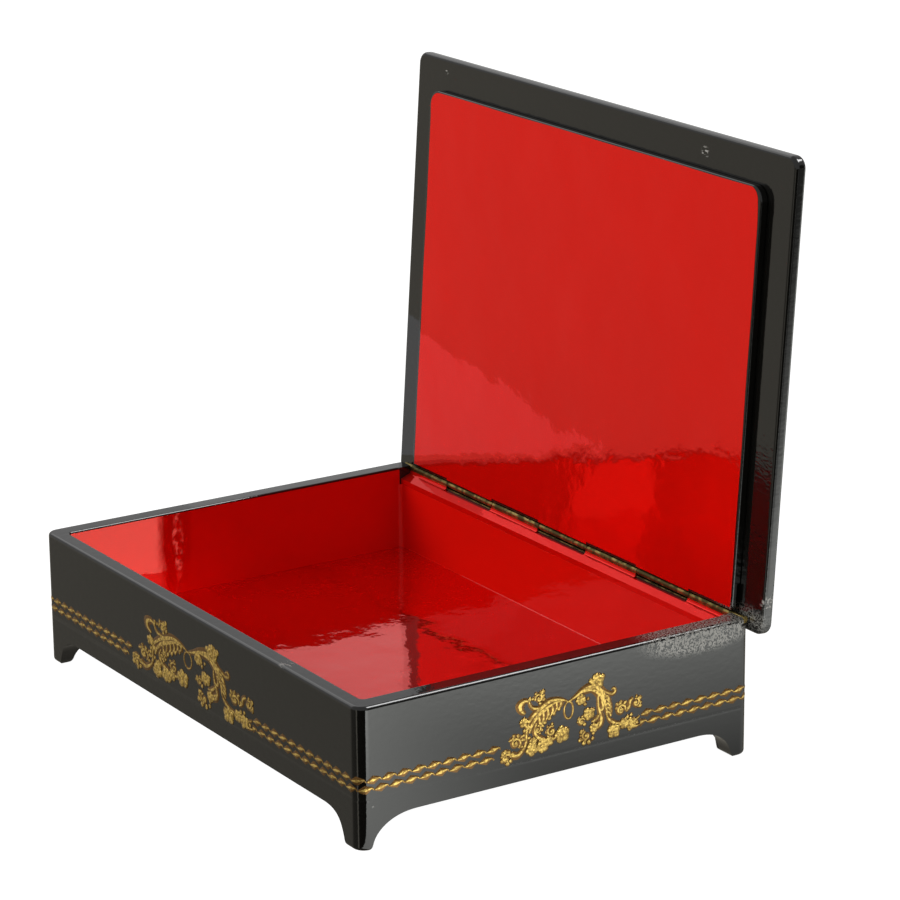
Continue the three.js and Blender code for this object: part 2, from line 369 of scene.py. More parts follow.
def set_stops(ramp, stops):
    """Sets a colour ramp's stops, given as place and colour."""
    while len(ramp.elements) > 1:
        ramp.elements.remove(ramp.elements[-1])
    for index, (place, colour) in enumerate(stops):
        element = ramp.elements[0] if index == 0 else ramp.elements.new(place)
        element.position = place
        element.color = (*colour, 1)


def case_spot(across, ahead, up):
    """A place on the case in millimetres, measured from its front left corner on the table."""
    return (across + CASE_LOW.x / MM, ahead + CASE_LOW.y / MM, up)


def lid_spot(across, ahead, up):
    """A place on the lid in millimetres, measured as on the shut lid."""
    shut = Vector(case_spot(across, ahead, up)) * MM
    return tuple((LID_TURN @ shut) / MM)


def black_lacquer():
    """Polished black lacquer: a faint orange peel, specks near the right face's top that are partly dust
    and partly a painted sparkle highlight, and a few knocks and scuffs.
    """
    finish = Finish.named("black_lacquer_finish")
    body = tuple(bpy.context.scene.casket_colours.black)
    # Pale colour where the board shows through the scuffs, used too for the painted sparkle highlight
    bare_and_sparkle = (0.34, 0.33, 0.30)
    cloud = finish.noise(30, detail=3.0)
    scratch = finish.band(finish.noise(0.9, detail=2.0, stretch=(0.4, 1, 1)), 0.52, 0.6)
    specks = finish.band(finish.noise(0.6, detail=2.0), 0.44, 0.56)
    # Pale specks near the right face's top back corner: partly dust, partly a painted sparkle highlight
    dust_and_sparkle = finish.near(case_spot(200, 123, 44), 26, (1, 1, 3.2)) * specks * 1.6
    knocks = (
        finish.near(case_spot(156, 3, 45), 3.6)
        + finish.near(lid_spot(12.8, 0, 45.3), 1.2)
        + finish.near(lid_spot(160, 1.6, 45.3), 2.4)
        + finish.near(lid_spot(205, 134, 47), 3)
    ) * scratch
    pit = finish.near(case_spot(200, 4.9, 13.7), 0.5)
    # Scuffs, knocks, a pit, dust and the painted sparkle, which all turn the lacquer pale and rough
    wear_and_sparkle = dust_and_sparkle + knocks + pit * 0.4
    height = finish.node("ShaderNodeSeparateXYZ", {}, {"Vector": finish.place()})["Z"]
    seam = CASE_LOW.z / MM
    reach = 0.9
    crease = finish.band(height, seam - reach, seam) * (1 - finish.band(height, seam, seam + reach))
    peel = finish.noise(1.3, detail=3.0, stretch=(0.5, 0.5, 1))
    return finish.surface(
        Base_Color=finish.mix(wear_and_sparkle, body, bare_and_sparkle),
        Roughness=0.04 + cloud * 0.05 + wear_and_sparkle * 0.4,
        Normal=finish.bump(peel - crease * 1.2, 0.05),
        IOR=1.5,
    )


def red_ripple(finish):
    """The slow waves and fine brush ripple of the red lacquer, as a normal."""
    wave = finish.noise(24, detail=1.0)
    ripple = finish.noise(5, detail=2.0)
    return finish.bump(wave + ripple * 0.16, 0.45)


def red_surface(name, shine, gloss):
    """Red lacquer over pressed board: slow waves under a clear gloss that shines red."""
    finish = Finish.named(name)
    body = tuple(bpy.context.scene.casket_colours.red)
    deep = tuple(channel * 0.9 for channel in body)
    cloud = finish.noise(40, detail=2.0)
    return finish.surface(
        Base_Color=finish.mix(cloud, deep, body),
        Roughness=0.03 + cloud * 0.03,
        Metallic=shine,
        Normal=red_ripple(finish),
        IOR=1.5,
        Specular_IOR_Level=gloss,
    )


def red_lacquer():
    """Red lacquer of the lid's field and the capping under the hinge."""
    return red_surface("red_lacquer_finish", RED_SHINE, 0.22)


def wall_lacquer():
    """Red lacquer of the inner walls, whose gloss is nearly clear."""
    return red_surface("wall_lacquer_finish", WALL_SHINE, 0.5)


def floor_lacquer():
    """Red lacquer on the floor's upper side and black lacquer on its underside."""
    finish = Finish.named("floor_lacquer_finish")
    colours = bpy.context.scene.casket_colours
    facing = finish.node("ShaderNodeNewGeometry")["True Normal"]
    upward = finish.node("ShaderNodeSeparateXYZ", {}, {"Vector": facing})["Z"] > 0
    return finish.surface(
        Base_Color=finish.mix(upward, tuple(colours.black), tuple(colours.red)),
        Roughness=0.045,
        Metallic=upward * FLOOR_SHINE,
        Normal=red_ripple(finish),
        IOR=1.5,
        Specular_IOR_Level=0.22,
    )


def hinge_brass():
    """Unpolished brass: brown tarnish in the hollows and high spots brightened by handling."""
    finish = Finish.named("hinge_brass_finish")
    colours = bpy.context.scene.casket_colours
    patches = finish.band(finish.noise(3, detail=4.0), 0.42, 0.66)
    return finish.surface(
        Base_Color=finish.mix(patches, tuple(colours.tarnish), tuple(colours.brass)),
        Roughness=0.34 + (1 - patches) * 0.2,
        Metallic=1.0,
        Normal=finish.bump(finish.noise(0.6), 0.02),
    )


def gold_paint():
    """Gold powder paint, brushed on: darker brown at its thin edges, partly a thin film and partly
    painted shade, bright where it lies thick.
    """
    finish = Finish.named("gold_paint_finish")
    gold = tuple(bpy.context.scene.casket_colours.gold)
    # Brown round the strokes' thin edges: partly a thin film of paint, partly painted shade
    film_and_shade = tuple(channel * share for channel, share in zip(gold, (0.2, 0.14, 0.12)))
    grain = finish.band(finish.noise(0.9, detail=3.0), 0.4, 0.58)
    film_and_shade_top, paint_top = 0.03, 0.08
    thick = finish.band(finish.lift(), film_and_shade_top, paint_top)
    return finish.surface(
        Base_Color=finish.mix(thick * (0.3 + grain * 0.7), film_and_shade, gold),
        Roughness=0.46 - grain * 0.14,
        Metallic=0.75,
        Normal=finish.bump(grain, 0.03),
    )


FINISHES = {
    "black_lacquer": black_lacquer,
    "red_lacquer": red_lacquer,
    "wall_lacquer": wall_lacquer,
    "floor_lacquer": floor_lacquer,
    "hinge_brass": hinge_brass,
    "gold_paint": gold_paint,
}


def finish_named(name):
    """The finish for a slot of the record, or for the floor, made when it is first asked for."""
    return bpy.data.materials.get(name + "_finish") or FINISHES[name]()


def corner_loop(low, high, radii, z, steps=10):
    """One ring round a rectangle with rounded corners, anticlockwise seen from above."""
    radii = [radii] * 4 if isinstance(radii, float) else radii
    signs = [(1, 1), (-1, 1), (-1, -1), (1, -1)]
    loop = []
    for corner, ((side, end), radius) in enumerate(zip(signs, radii)):
        x = (high[0] if side > 0 else low[0]) - side * radius
        y = (high[1] if end > 0 else low[1]) - end * radius
        for step in range(steps + 1):
            angle = (corner + step / steps) * math.pi / 2
            loop.append((x + radius * math.cos(angle), y + radius * math.sin(angle), z))
    return loop


def inset_loop(low, high, inset, radius, z):
    """A ring drawn in from a rectangle, with its corners drawn in with it."""
    rounding = max(radius - inset, SMALLEST_ROUND)
    return corner_loop(
        (low[0] + inset, low[1] + inset), (high[0] - inset, high[1] - inset), rounding, z
    )


def quarter_round(radius, steps=6):
    """Points (inset, drop) of a quarter round, from the flat face to the upright side."""
    for step in range(steps + 1):
        angle = step / steps * math.pi / 2
        yield radius * (1 - math.sin(angle)), radius * (1 - math.cos(angle))


def new_object(name, mesh):
    """A linked object that holds this mesh."""
    made = bpy.data.objects.new(name, mesh)
    bpy.context.scene.collection.objects.link(made)
    return made


def outward(mesh):
    """Turns every face of a closed mesh outwards."""
    work = bmesh.new()
    work.from_mesh(mesh)
    bmesh.ops.remove_doubles(work, verts=work.verts, dist=1e-7)
    bmesh.ops.recalc_face_normals(work, faces=work.faces)
    work.to_mesh(mesh)
    work.free()
    return mesh


def loft(name, rings, closed=False):
    """A solid through rings of points; its ends are capped, or its last ring joins its first."""
    count = len(rings[0])
    last = len(rings) if closed else len(rings) - 1
    faces = []
    for ring in range(last):
        here, there = ring * count, (ring + 1) % len(rings) * count
        for point in range(count):
            after = (point + 1) % count
            faces.append((here + point, here + after, there + after, there + point))
    if not closed:
        faces.append(tuple(reversed(range(count))))
        faces.append(tuple(range((len(rings) - 1) * count, len(rings) * count)))
    mesh = bpy.data.meshes.new(name)
    mesh.from_pydata([point for ring in rings for point in ring], [], faces)
    return new_object(name, outward(mesh))


def block(name, low, high):
    """A plain box between two corners, used for cutting."""
    rings = [
        [(low[0], low[1], z), (high[0], low[1], z), (high[0], high[1], z), (low[0], high[1], z)]
        for z in (low[2], high[2])
    ]
    return loft(name, rings)


def along_x(name, section, x_low, x_high):
    """A solid whose section, given as (y, z) points, runs from one x to another."""
    return loft(name, [[(x, y, z) for y, z in section] for x in (x_low, x_high)])


def settle(piece):
    """Turns a piece's modifiers into plain mesh."""
    graph = bpy.context.evaluated_depsgraph_get()
    mesh = bpy.data.meshes.new_from_object(
        piece.evaluated_get(graph), preserve_all_data_layers=True, depsgraph=graph
    )
    piece.modifiers.clear()
    piece.data = mesh
    return piece


def combine(piece, tool, operation="DIFFERENCE"):
    """Cuts a piece with a tool, or joins the tool to it, and deletes the tool."""
    modifier = piece.modifiers.new("combine", "BOOLEAN")
    modifier.operation = operation
    modifier.solver = "EXACT"
    modifier.object = tool
    settle(piece)
    bpy.data.objects.remove(tool)
    return piece


def joined(name, pieces):
    """One object that holds the meshes of several."""
    work = bmesh.new()
    for piece in pieces:
        work.from_mesh(piece.data)
        bpy.data.objects.remove(piece)
    mesh = bpy.data.meshes.new(name)
    work.to_mesh(mesh)
    work.free()
    return new_object(name, mesh)


def smooth(piece):
    """Shades a piece smoothly, with its sharp edges kept sharp."""
    piece.data.shade_smooth()
    piece.data.set_sharp_from_angle(angle=SHARP_ANGLE)


def soften(piece, width=0.0, segments=3):
    """Rounds a piece's sharp edges and shades it smoothly, with its flat faces kept flat."""
    if width:
        bevel = piece.modifiers.new("soft edges", "BEVEL")
        bevel.width = width
        bevel.segments = segments
        bevel.limit_method = "ANGLE"
        bevel.angle_limit = SHARP_ANGLE
        bevel.miter_outer = "MITER_ARC"
        settle(piece)
    smooth(piece)
    weighted = piece.modifiers.new("flat faces", "WEIGHTED_NORMAL")
    weighted.keep_sharp = True
    weighted.weight = 100
    return settle(piece)


def hand_over(piece, body, slot, stands_for=(), finish=None):
    """Gives a finished piece its material, rides it on its body, and hides the frame's parts that it
    stands for.
    """
    piece.data.materials.clear()
    piece.data.materials.append(finish_named(finish or slot))
    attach(piece, body)
    if stands_for:
        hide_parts(*stands_for)
    return piece


def sizes():
    """The sizes of the case, base and lid."""
    return bpy.context.scene.casket_sizes


def cavity():
    """The corners of the space inside the walls, seen from above."""
    size = sizes()
    low = (CASE_LOW.x + size.side_wall, CASE_LOW.y + size.front_wall)
    high = (CASE_HIGH.x - size.side_wall, CASE_HIGH.y - size.back_wall)
    return low, high


def knuckle_places():
    """Where each knuckle of the hinge starts and ends along X, from left to right."""
    hinge = bpy.context.scene.casket_hinge
    start = CASE_LOW.x + hinge.end_inset
    pitch = (CASE_HIGH.x - CASE_LOW.x - 2 * hinge.end_inset) / hinge.count
    return [(start + pitch * place, start + pitch * (place + 1)) for place in range(hinge.count)]


def seat_place():
    """The front of the space under the hinge barrel, and the height of the wall there."""
    hinge = bpy.context.scene.casket_hinge
    gap = hinge.barrel + hinge.clearance
    return HINGE_POINT.y - gap, min(HINGE_POINT.z - gap, PLUG_LOW.z - hinge.clearance)


class CASKET_OT_walls(bpy.types.Operator):
    """Build the black walls with their rounded rim, cut down along the back for the hinge"""

    bl_idname = "casket.walls"
    bl_label = "Walls"

    def execute(self, context):
        size = sizes()
        low, high = cavity()
        rim = CASE_HIGH.z
        outline = (CASE_LOW, CASE_HIGH)
        rings = [inset_loop(*outline, 0, size.corner, CASE_LOW.z)]
        for inset, drop in reversed(list(quarter_round(size.rim_round))):
            rings.append(inset_loop(*outline, inset, size.corner, rim - drop))
        for inset, drop in quarter_round(size.rim_inner_round):
            rings.append(inset_loop(low, high, -inset, size.inner_corner, rim - drop))
        for z in (rim - size.rim_inner_round, CASE_LOW.z):
            rings.append(inset_loop(low, high, -size.lining, size.inner_corner, z))
        walls = loft("case_shell", rings, closed=True)
        seat_y, seat_z = seat_place()
        beyond = 0.01
        for name, cut_low, cut_high in (
            (
                "barrel seat",
                (CASE_LOW.x - beyond, seat_y, seat_z),
                (CASE_HIGH.x + beyond, CASE_HIGH.y + beyond, rim + beyond),
            ),
            (
                "capping seat",
                (low[0], high[1] - beyond, rim - size.capping_depth),
                (high[0], seat_y, rim + beyond),
            ),
        ):
            combine(walls, block(name, cut_low, cut_high))
        soften(walls, size.soft_edge)
        hand_over(walls, "box", "black_lacquer", ["case_walls"])
        return {"FINISHED"}


class CASKET_OT_lining(bpy.types.Operator):
    """Build the red lining of the walls and the capping of the back wall"""

    bl_idname = "casket.lining"
    bl_label = "Lining"

    def execute(self, context):
        size = sizes()
        low, high = cavity()
        top = CASE_HIGH.z - size.rim_inner_round
        seat_y, seat_z = seat_place()
        capping_low = CASE_HIGH.z - size.capping_depth
        rings = [
            inset_loop(low, high, inset, size.inner_corner, z)
            for inset, z in (
                (0, FLOOR_TOP),
                (0, top),
                (-size.lining, top),
                (-size.lining, FLOOR_TOP),
            )
        ]
        lining = loft("wall_lining", rings, closed=True)
        beyond = 0.01
        room = context.scene.casket_hinge.clearance * 2
        overlap = 2 * MM
        combine(
            lining,
            block(
                "above capping",
                (PLUG_LOW.x - room, high[1] - overlap, capping_low),
                (PLUG_HIGH.x + room, high[1] + beyond, top + beyond),
            ),
        )
        soften(lining, 0.08 * MM)
        hand_over(lining, "box", "red_lacquer", finish="wall_lacquer")
        section = [
            (seat_y, capping_low),
            (high[1], capping_low),
            (high[1], seat_z - size.capping_drop),
            (high[1] + size.capping_slope, seat_z - 0.1 * MM),
            (seat_y, seat_z),
        ]
        capping = along_x("capping", section, low[0], high[0])
        fillets = []
        # Lacquer that has crept up the sheet of each box knuckle
        fillet = [
            (seat_y - 0.7 * MM, seat_z - 0.2 * MM),
            (seat_y - 0.05 * MM, seat_z + 0.15 * MM),
            (seat_y + 0.02 * MM, seat_z + 0.85 * MM),
            (seat_y + 0.26 * MM, seat_z + 0.85 * MM),
            (seat_y + 0.26 * MM, seat_z - 0.2 * MM),
        ]
        for place, (start, end) in enumerate(knuckle_places()):
            start, end = max(start, low[0]), min(end, high[0])
            if place % 2:
                notch = block(
                    "notch",
                    (start, seat_y - size.capping_slope * 0.3, seat_z - size.hinge_notch),
                    (end, seat_y + beyond, seat_z + beyond),
                )
                combine(capping, notch)
            else:
                fillets.append(along_x("fillet", fillet, start, end))
        capping = joined("hinge_capping", [soften(capping, 0.12 * MM, segments=2), *fillets])
        smooth(capping)
        hand_over(capping, "box", "red_lacquer")
        return {"FINISHED"}


class CASKET_OT_bead(bpy.types.Operator):
    """Build the bead of lacquer that has pooled where the floor meets the back wall"""

    bl_idname = "casket.bead"
    bl_label = "Floor bead"

    def execute(self, context):
        size = sizes()
        low, high = cavity()
        sunk = 0.05 * MM
        section = [(-sunk, -sunk), (size.bead, -sunk), *quarter_round(size.bead), (-sunk, size.bead)]
        profile = [(high[1] - inset, FLOOR_TOP + rise) for inset, rise in section]
        ends = size.inner_corner
        bead = along_x("floor_bead", profile, low[0] + ends, high[0] - ends)
        hand_over(soften(bead), "box", "red_lacquer", finish="wall_lacquer")
        return {"FINISHED"}


def foot_arch(length_between, tip, other_tip, size):
    """Outline of the space between two feet, seen square on, as (along, height) points."""
    far_side = [
        Vector((length_between - point.x, point.y)) for point in reversed(foot_side(other_tip, size))
    ]
    return foot_side(tip, size) + far_side


def foot_side(tip, size):
    """Half of that outline: the curve from one foot's tip up to the level skirt."""
    tip_round = size.foot_tip_round
    start = Vector((tip + tip_round / 2, tip_round * 2))
    end = Vector((size.foot_reach, size.skirt_height))
    bend = Vector((tip + size.foot_waist, size.foot_waist_height))
    level = Vector((size.foot_shoulder, size.skirt_height))
    below_table = -5 * MM
    half = [Vector((tip - tip_round, below_table)), Vector((tip - tip_round, 0))]
    corner = Vector((tip, 0))
    tip_steps, side_steps = 5, 20
    for step in range(1, tip_steps):
        t = step / tip_steps
        half.append(half[1] * (1 - t) ** 2 + corner * 2 * t * (1 - t) + start * t**2)
    for step in range(side_steps + 1):
        t = step / side_steps
        half.append(
            start * (1 - t) ** 3
            + bend * 3 * t * (1 - t) ** 2
            + level * 3 * t**2 * (1 - t)
            + end * t**3
        )
    return half


class CASKET_OT_base(bpy.types.Operator):
    """Build the skirt on its four bracket feet"""

    bl_idname = "casket.base"
    bl_label = "Base"

    def execute(self, context):
        size = sizes()
        outline = (CASE_LOW, CASE_HIGH)
        rings = [
            inset_loop(*outline, inset, size.corner, drop)
            for inset, drop in quarter_round(size.foot_tip_round)
        ]
        rings.append(inset_loop(*outline, 0, size.corner, CASE_LOW.z))
        base = loft("base_shell", rings)
        beyond = 0.01
        hollows = [
            (size.skirt, -beyond, FLOOR_TOP + beyond),
            (size.ledge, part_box("floor_panel")[0].z, FLOOR_TOP + beyond),
        ]
        for inset, z_low, z_high in hollows:
            inner = [inset_loop(*outline, inset, size.corner, z) for z in (z_low, z_high)]
            combine(base, loft("hollow", inner))
        width, depth = CASE_HIGH.x - CASE_LOW.x, CASE_HIGH.y - CASE_LOW.y
        front = [
            [
                (CASE_LOW.x + along, y, height)
                for along, height in foot_arch(width, size.long_foot_tip, size.long_foot_tip, size)
            ]
            for y in (CASE_LOW.y - beyond, CASE_HIGH.y + beyond)
        ]
        side = [
            [
                (x, CASE_LOW.y + along, height)
                for along, height in foot_arch(depth, size.front_foot_tip, size.back_foot_tip, size)
            ]
            for x in (CASE_LOW.x - beyond, CASE_HIGH.x + beyond)
        ]
        for rings in (front, side):
            combine(base, loft("arch", rings))
        soften(base, size.soft_edge * 2)
        hand_over(base, "box", "black_lacquer", ["base_frame"])
        return {"FINISHED"}


class CASKET_OT_floor(bpy.types.Operator):
    """Finish the floor panel, red above and black below"""

    bl_idname = "casket.floor"
    bl_label = "Floor"

    def execute(self, context):
        panel = frame["nodes"]["floor_panel"]
        panel.data.materials.clear()
        panel.data.materials.append(finish_named("floor_lacquer"))
        return {"FINISHED"}


def rolled_section(hinge, steps=28):
    """Section of a knuckle: sheet that comes up tangent to the barrel and rolls round the pin."""
    outer, inner = hinge.barrel, hinge.barrel - hinge.sheet
    turn = math.radians(325)
    points = [(-outer, -outer - hinge.clearance), (-outer, 0)]
    for step in range(1, steps + 1):
        angle = math.pi - turn * step / steps
        points.append((outer * math.cos(angle), outer * math.sin(angle)))
    for step in range(steps, -1, -1):
        angle = math.pi - turn * step / steps
        points.append((inner * math.cos(angle), inner * math.sin(angle)))
    points.append((-inner, -outer - hinge.clearance))
    return points


class Graph:
    """A Geometry Nodes tree under construction."""

    def __init__(self, name, inputs):
        self.tree = bpy.data.node_groups.new(name, "GeometryNodeTree")
        self.tree.is_modifier = True
        for label, kind in {"Geometry": "Geometry", **inputs}.items():
            self.tree.interface.new_socket(name=label, in_out="INPUT", socket_type="NodeSocket" + kind)
        self.tree.interface.new_socket(
            name="Geometry", in_out="OUTPUT", socket_type="NodeSocketGeometry"
        )
        self.given = self.tree.nodes.new("NodeGroupInput").outputs

    def node(self, kind, settings=None, sockets=None):
        """Adds one node and returns its outputs."""
        shared = kind.startswith(("ShaderNode", "FunctionNode"))
        made = self.tree.nodes.new(kind if shared else "GeometryNode" + kind)
        for name, value in (settings or {}).items():
            setattr(made, name, value)
        for name, value in (sockets or {}).items():
            if isinstance(value, bpy.types.NodeSocket):
                self.tree.links.new(value, made.inputs[name])
            else:
                made.inputs[name].default_value = value
        return made.outputs

    def maths(self, operation, first, second=0.0):
        """The result of one Math node."""
        return self.node("ShaderNodeMath", {"operation": operation}, {0: first, 1: second})[0]

    def vector(self, operation, first, **others):
        """The vector that one Vector Math node gives."""
        sockets = {0: first}
        if "second" in others:
            sockets[1] = others["second"]
        if "scale" in others:
            sockets["Scale"] = others["scale"]
        return self.node("ShaderNodeVectorMath", {"operation": operation}, sockets)["Vector"]

    def finish(self, geometry):
        """Ends the tree: copies made real, then their material."""
        real = self.node("RealizeInstances", {}, {"Geometry": geometry})["Geometry"]
        done = self.node("SetMaterial", {}, {"Geometry": real, "Material": self.given["Finish"]})
        output = self.tree.nodes.new("NodeGroupOutput")
        self.tree.links.new(done["Geometry"], output.inputs["Geometry"])
        return self.tree


def run_graph(holder, tree, values):
    """Runs a tree on an object, with its inputs set, and keeps the result as plain mesh."""
    modifier = holder.modifiers.new(tree.name, "NODES")
    modifier.node_group = tree
    for item in tree.interface.items_tree:
        if item.in_out == "INPUT" and item.name in values:
            modifier[item.identifier] = values[item.name]
    graph = bpy.context.evaluated_depsgraph_get()
    mesh = bpy.data.meshes.new_from_object(holder.evaluated_get(graph), depsgraph=graph)
    made = new_object(holder.name + "_made", mesh)
    bpy.data.objects.remove(holder)
    return made


def knuckle_row():
    """The tree that repeats a knuckle at every second place of the hinge."""
    graph = Graph(
        "knuckle_row",
        {
            "Knuckle": "Object",
            "Places": "Int",
            "First": "Int",
            "Pitch": "Float",
            "Start": "Vector",
            "Finish": "Material",
        },
    )
    offset = graph.node("ShaderNodeCombineXYZ", {}, {"X": graph.given["Pitch"]})["Vector"]
    line = graph.node(
        "MeshLine",
        {"mode": "OFFSET"},
        {"Count": graph.given["Places"], "Start Location": graph.given["Start"], "Offset": offset},
    )["Mesh"]
    index = graph.node("InputIndex")["Index"]
    odd = graph.maths("MODULO", graph.maths("ADD", index, graph.given["First"]), 2.0)
    kept = graph.node(
        "DeleteGeometry", {"domain": "POINT"}, {"Geometry": line, "Selection": odd}
    )["Geometry"]
    knuckle = graph.node("ObjectInfo", {}, {"Object": graph.given["Knuckle"]})["Geometry"]
    placed = graph.node("InstanceOnPoints", {}, {"Points": kept, "Instance": knuckle})["Instances"]
    return graph.finish(placed)


class CASKET_OT_hinge(bpy.types.Operator):
    """Build the brass piano hinge: seven rolled knuckles in two leaves round one pin"""

    bl_idname = "casket.hinge"
    bl_label = "Hinge"

    def execute(self, context):
        hinge = context.scene.casket_hinge
        start, end = knuckle_places()[0]
        pitch = end - start
        tree = knuckle_row()
        plate_top = hinge.barrel + hinge.clearance
        leaves = (
            ("hinge_leaf_box", "box", 0, "hinge_box_leaf", hinge.end_inset, hinge.box_leaf_depth, 0),
            (
                "hinge_leaf_lid",
                "lid",
                1,
                "hinge_lid_leaf",
                hinge.lid_leaf_inset,
                hinge.lid_leaf_reach,
                -math.pi / 2,
            ),
        )
        for name, body, first, node, inset, reach, turn in leaves:
            gap = hinge.knuckle_gap / 2
            knuckle = along_x("knuckle", rolled_section(hinge), gap, pitch - gap)
            soften(knuckle, 0.06 * MM, segments=2)
            holder = new_object("knuckles", bpy.data.meshes.new("knuckles"))
            row = run_graph(
                holder,
                tree,
                {
                    "Knuckle": knuckle,
                    "Places": hinge.count,
                    "First": first,
                    "Pitch": pitch,
                    "Start": (start, 0, 0),
                    "Finish": finish_named("hinge_brass"),
                },
            )
            bpy.data.objects.remove(knuckle)
            plate = block(
                "plate",
                (CASE_LOW.x + inset, -hinge.barrel, -reach),
                (CASE_HIGH.x - inset, -hinge.barrel + hinge.leaf, -plate_top + 0.1 * MM),
            )
            soften(plate, 0.08 * MM, segments=2)
            leaf = joined(name, [row, plate])
            leaf.data.transform(Matrix.Rotation(turn, 4, "X"))
            leaf.data.transform(Matrix.Translation(HINGE_POINT))
            if body == "lid":
                leaf.data.transform(LID_TURN)
            smooth(leaf)
            hand_over(leaf, body, "hinge_brass", [node])
        pin = frame["nodes"]["hinge_pin"]
        pin.data.materials.clear()
        pin.data.materials.append(finish_named("hinge_brass"))
        return {"FINISHED"}


class CASKET_OT_lid(bpy.types.Operator):
    """Build the black lid board with its scuffed, rounded edge"""

    bl_idname = "casket.lid"
    bl_label = "Lid board"

    def execute(self, context):
        size = sizes()
        outline = (LID_LOW, LID_HIGH)
        rings = []
        for inset, drop in quarter_round(size.lid_edge):
            rings.append(inset_loop(*outline, inset, size.lid_corner, LID_LOW.z + drop))
        for inset, drop in reversed(list(quarter_round(size.lid_edge))):
            rings.append(inset_loop(*outline, inset, size.lid_corner, LID_HIGH.z - drop))
        board = loft("lid_board", rings)
        board.data.transform(LID_TURN)
        hand_over(soften(board), "lid", "black_lacquer", ["lid_panel"])
        return {"FINISHED"}


class CASKET_OT_panel(bpy.types.Operator):
    """Build the raised panel on the lid's inner face, black round its red field"""

    bl_idname = "casket.inner_panel"
    bl_label = "Inner panel"

    def execute(self, context):
        size = sizes()
        hinge = context.scene.casket_hinge
        corners = (size.panel_hinge_corner,) * 2 + (size.panel_corner,) * 2

        def ring(inset, z):
            return corner_loop(
                (PLUG_LOW.x + inset, PLUG_LOW.y + inset),
                (PLUG_HIGH.x - inset, PLUG_HIGH.y - inset),
                [max(radius - inset, SMALLEST_ROUND) for radius in corners],
                z,
            )

        rings = [ring(inset, PLUG_LOW.z + drop) for inset, drop in quarter_round(size.panel_edge)]
        rings.append(ring(0, PLUG_HIGH.z))
        panel = loft("lid_raised_panel", rings)
        beyond = 5 * MM
        rebate = block(
            "rebate",
            (
                PLUG_LOW.x - beyond,
                HINGE_POINT.y - hinge.lid_leaf_reach - hinge.clearance,
                HINGE_POINT.z + hinge.barrel - hinge.leaf - hinge.clearance,
            ),
            (PLUG_HIGH.x + beyond, PLUG_HIGH.y + beyond, PLUG_HIGH.z + beyond),
        )
        combine(panel, rebate)
        panel.data.transform(LID_TURN)
        hand_over(soften(panel), "lid", "black_lacquer", ["lid_plug"])

        outline = self.field_outline(size)
        field = loft(
            "lid_red_field",
            [
                [(x, y, z) for x, y in outline]
                for z in (PLUG_LOW.z - size.field_thickness, PLUG_LOW.z + size.field_thickness)
            ],
        )
        for start, end in knuckle_places()[0::2]:
            low = (start, PLUG_HIGH.y - size.field_inset - size.hinge_notch, PLUG_LOW.z - beyond)
            combine(field, block("notch", low, (end, PLUG_HIGH.y + beyond, PLUG_LOW.z + beyond)))
        soften(field, 0.04 * MM, segments=2)
        field.data.transform(LID_TURN)
        hand_over(field, "lid", "red_lacquer")
        return {"FINISHED"}

    def field_outline(self, size):
        """The red field's edge: painted by hand, so its corners flare and its sides waver."""
        inset = size.field_inset
        left_line, right_line, hinge_line = inset * 2.6, inset * 1.8, inset * 0.5
        corners = (0.6 * MM, 1.5 * MM, size.panel_corner, size.panel_corner * 0.7)
        low = (PLUG_LOW.x + left_line, PLUG_LOW.y + inset)
        high = (PLUG_HIGH.x - right_line, PLUG_HIGH.y - hinge_line)
        loop = [(x, y) for x, y, z in corner_loop(low, high, corners, 0)]
        step = 3 * MM
        flare_reach = 14 * MM
        left_flare, right_flare = 1.0 * MM, 1.3 * MM
        waver = 0.08 * MM
        outline = []
        for here, there in zip(loop, loop[1:] + loop[:1]):
            span = math.dist(here, there)
            parts = max(1, round(span / step))
            for part in range(parts):
                share = part / parts
                x = here[0] + (there[0] - here[0]) * share
                y = here[1] + (there[1] - here[1]) * share
                flare = max(0.0, 1 - (y - low[1]) / flare_reach) ** 2
                left = max(0.0, 1 - (x - low[0]) / flare_reach)
                right = max(0.0, 1 - (high[0] - x) / flare_reach)
                x -= left_flare * flare * left
                x -= right_flare * flare * right
                x += waver * math.sin(y / (7 * MM))
                y += waver * math.sin(x / (9 * MM))
                outline.append((x, y))
        return outline


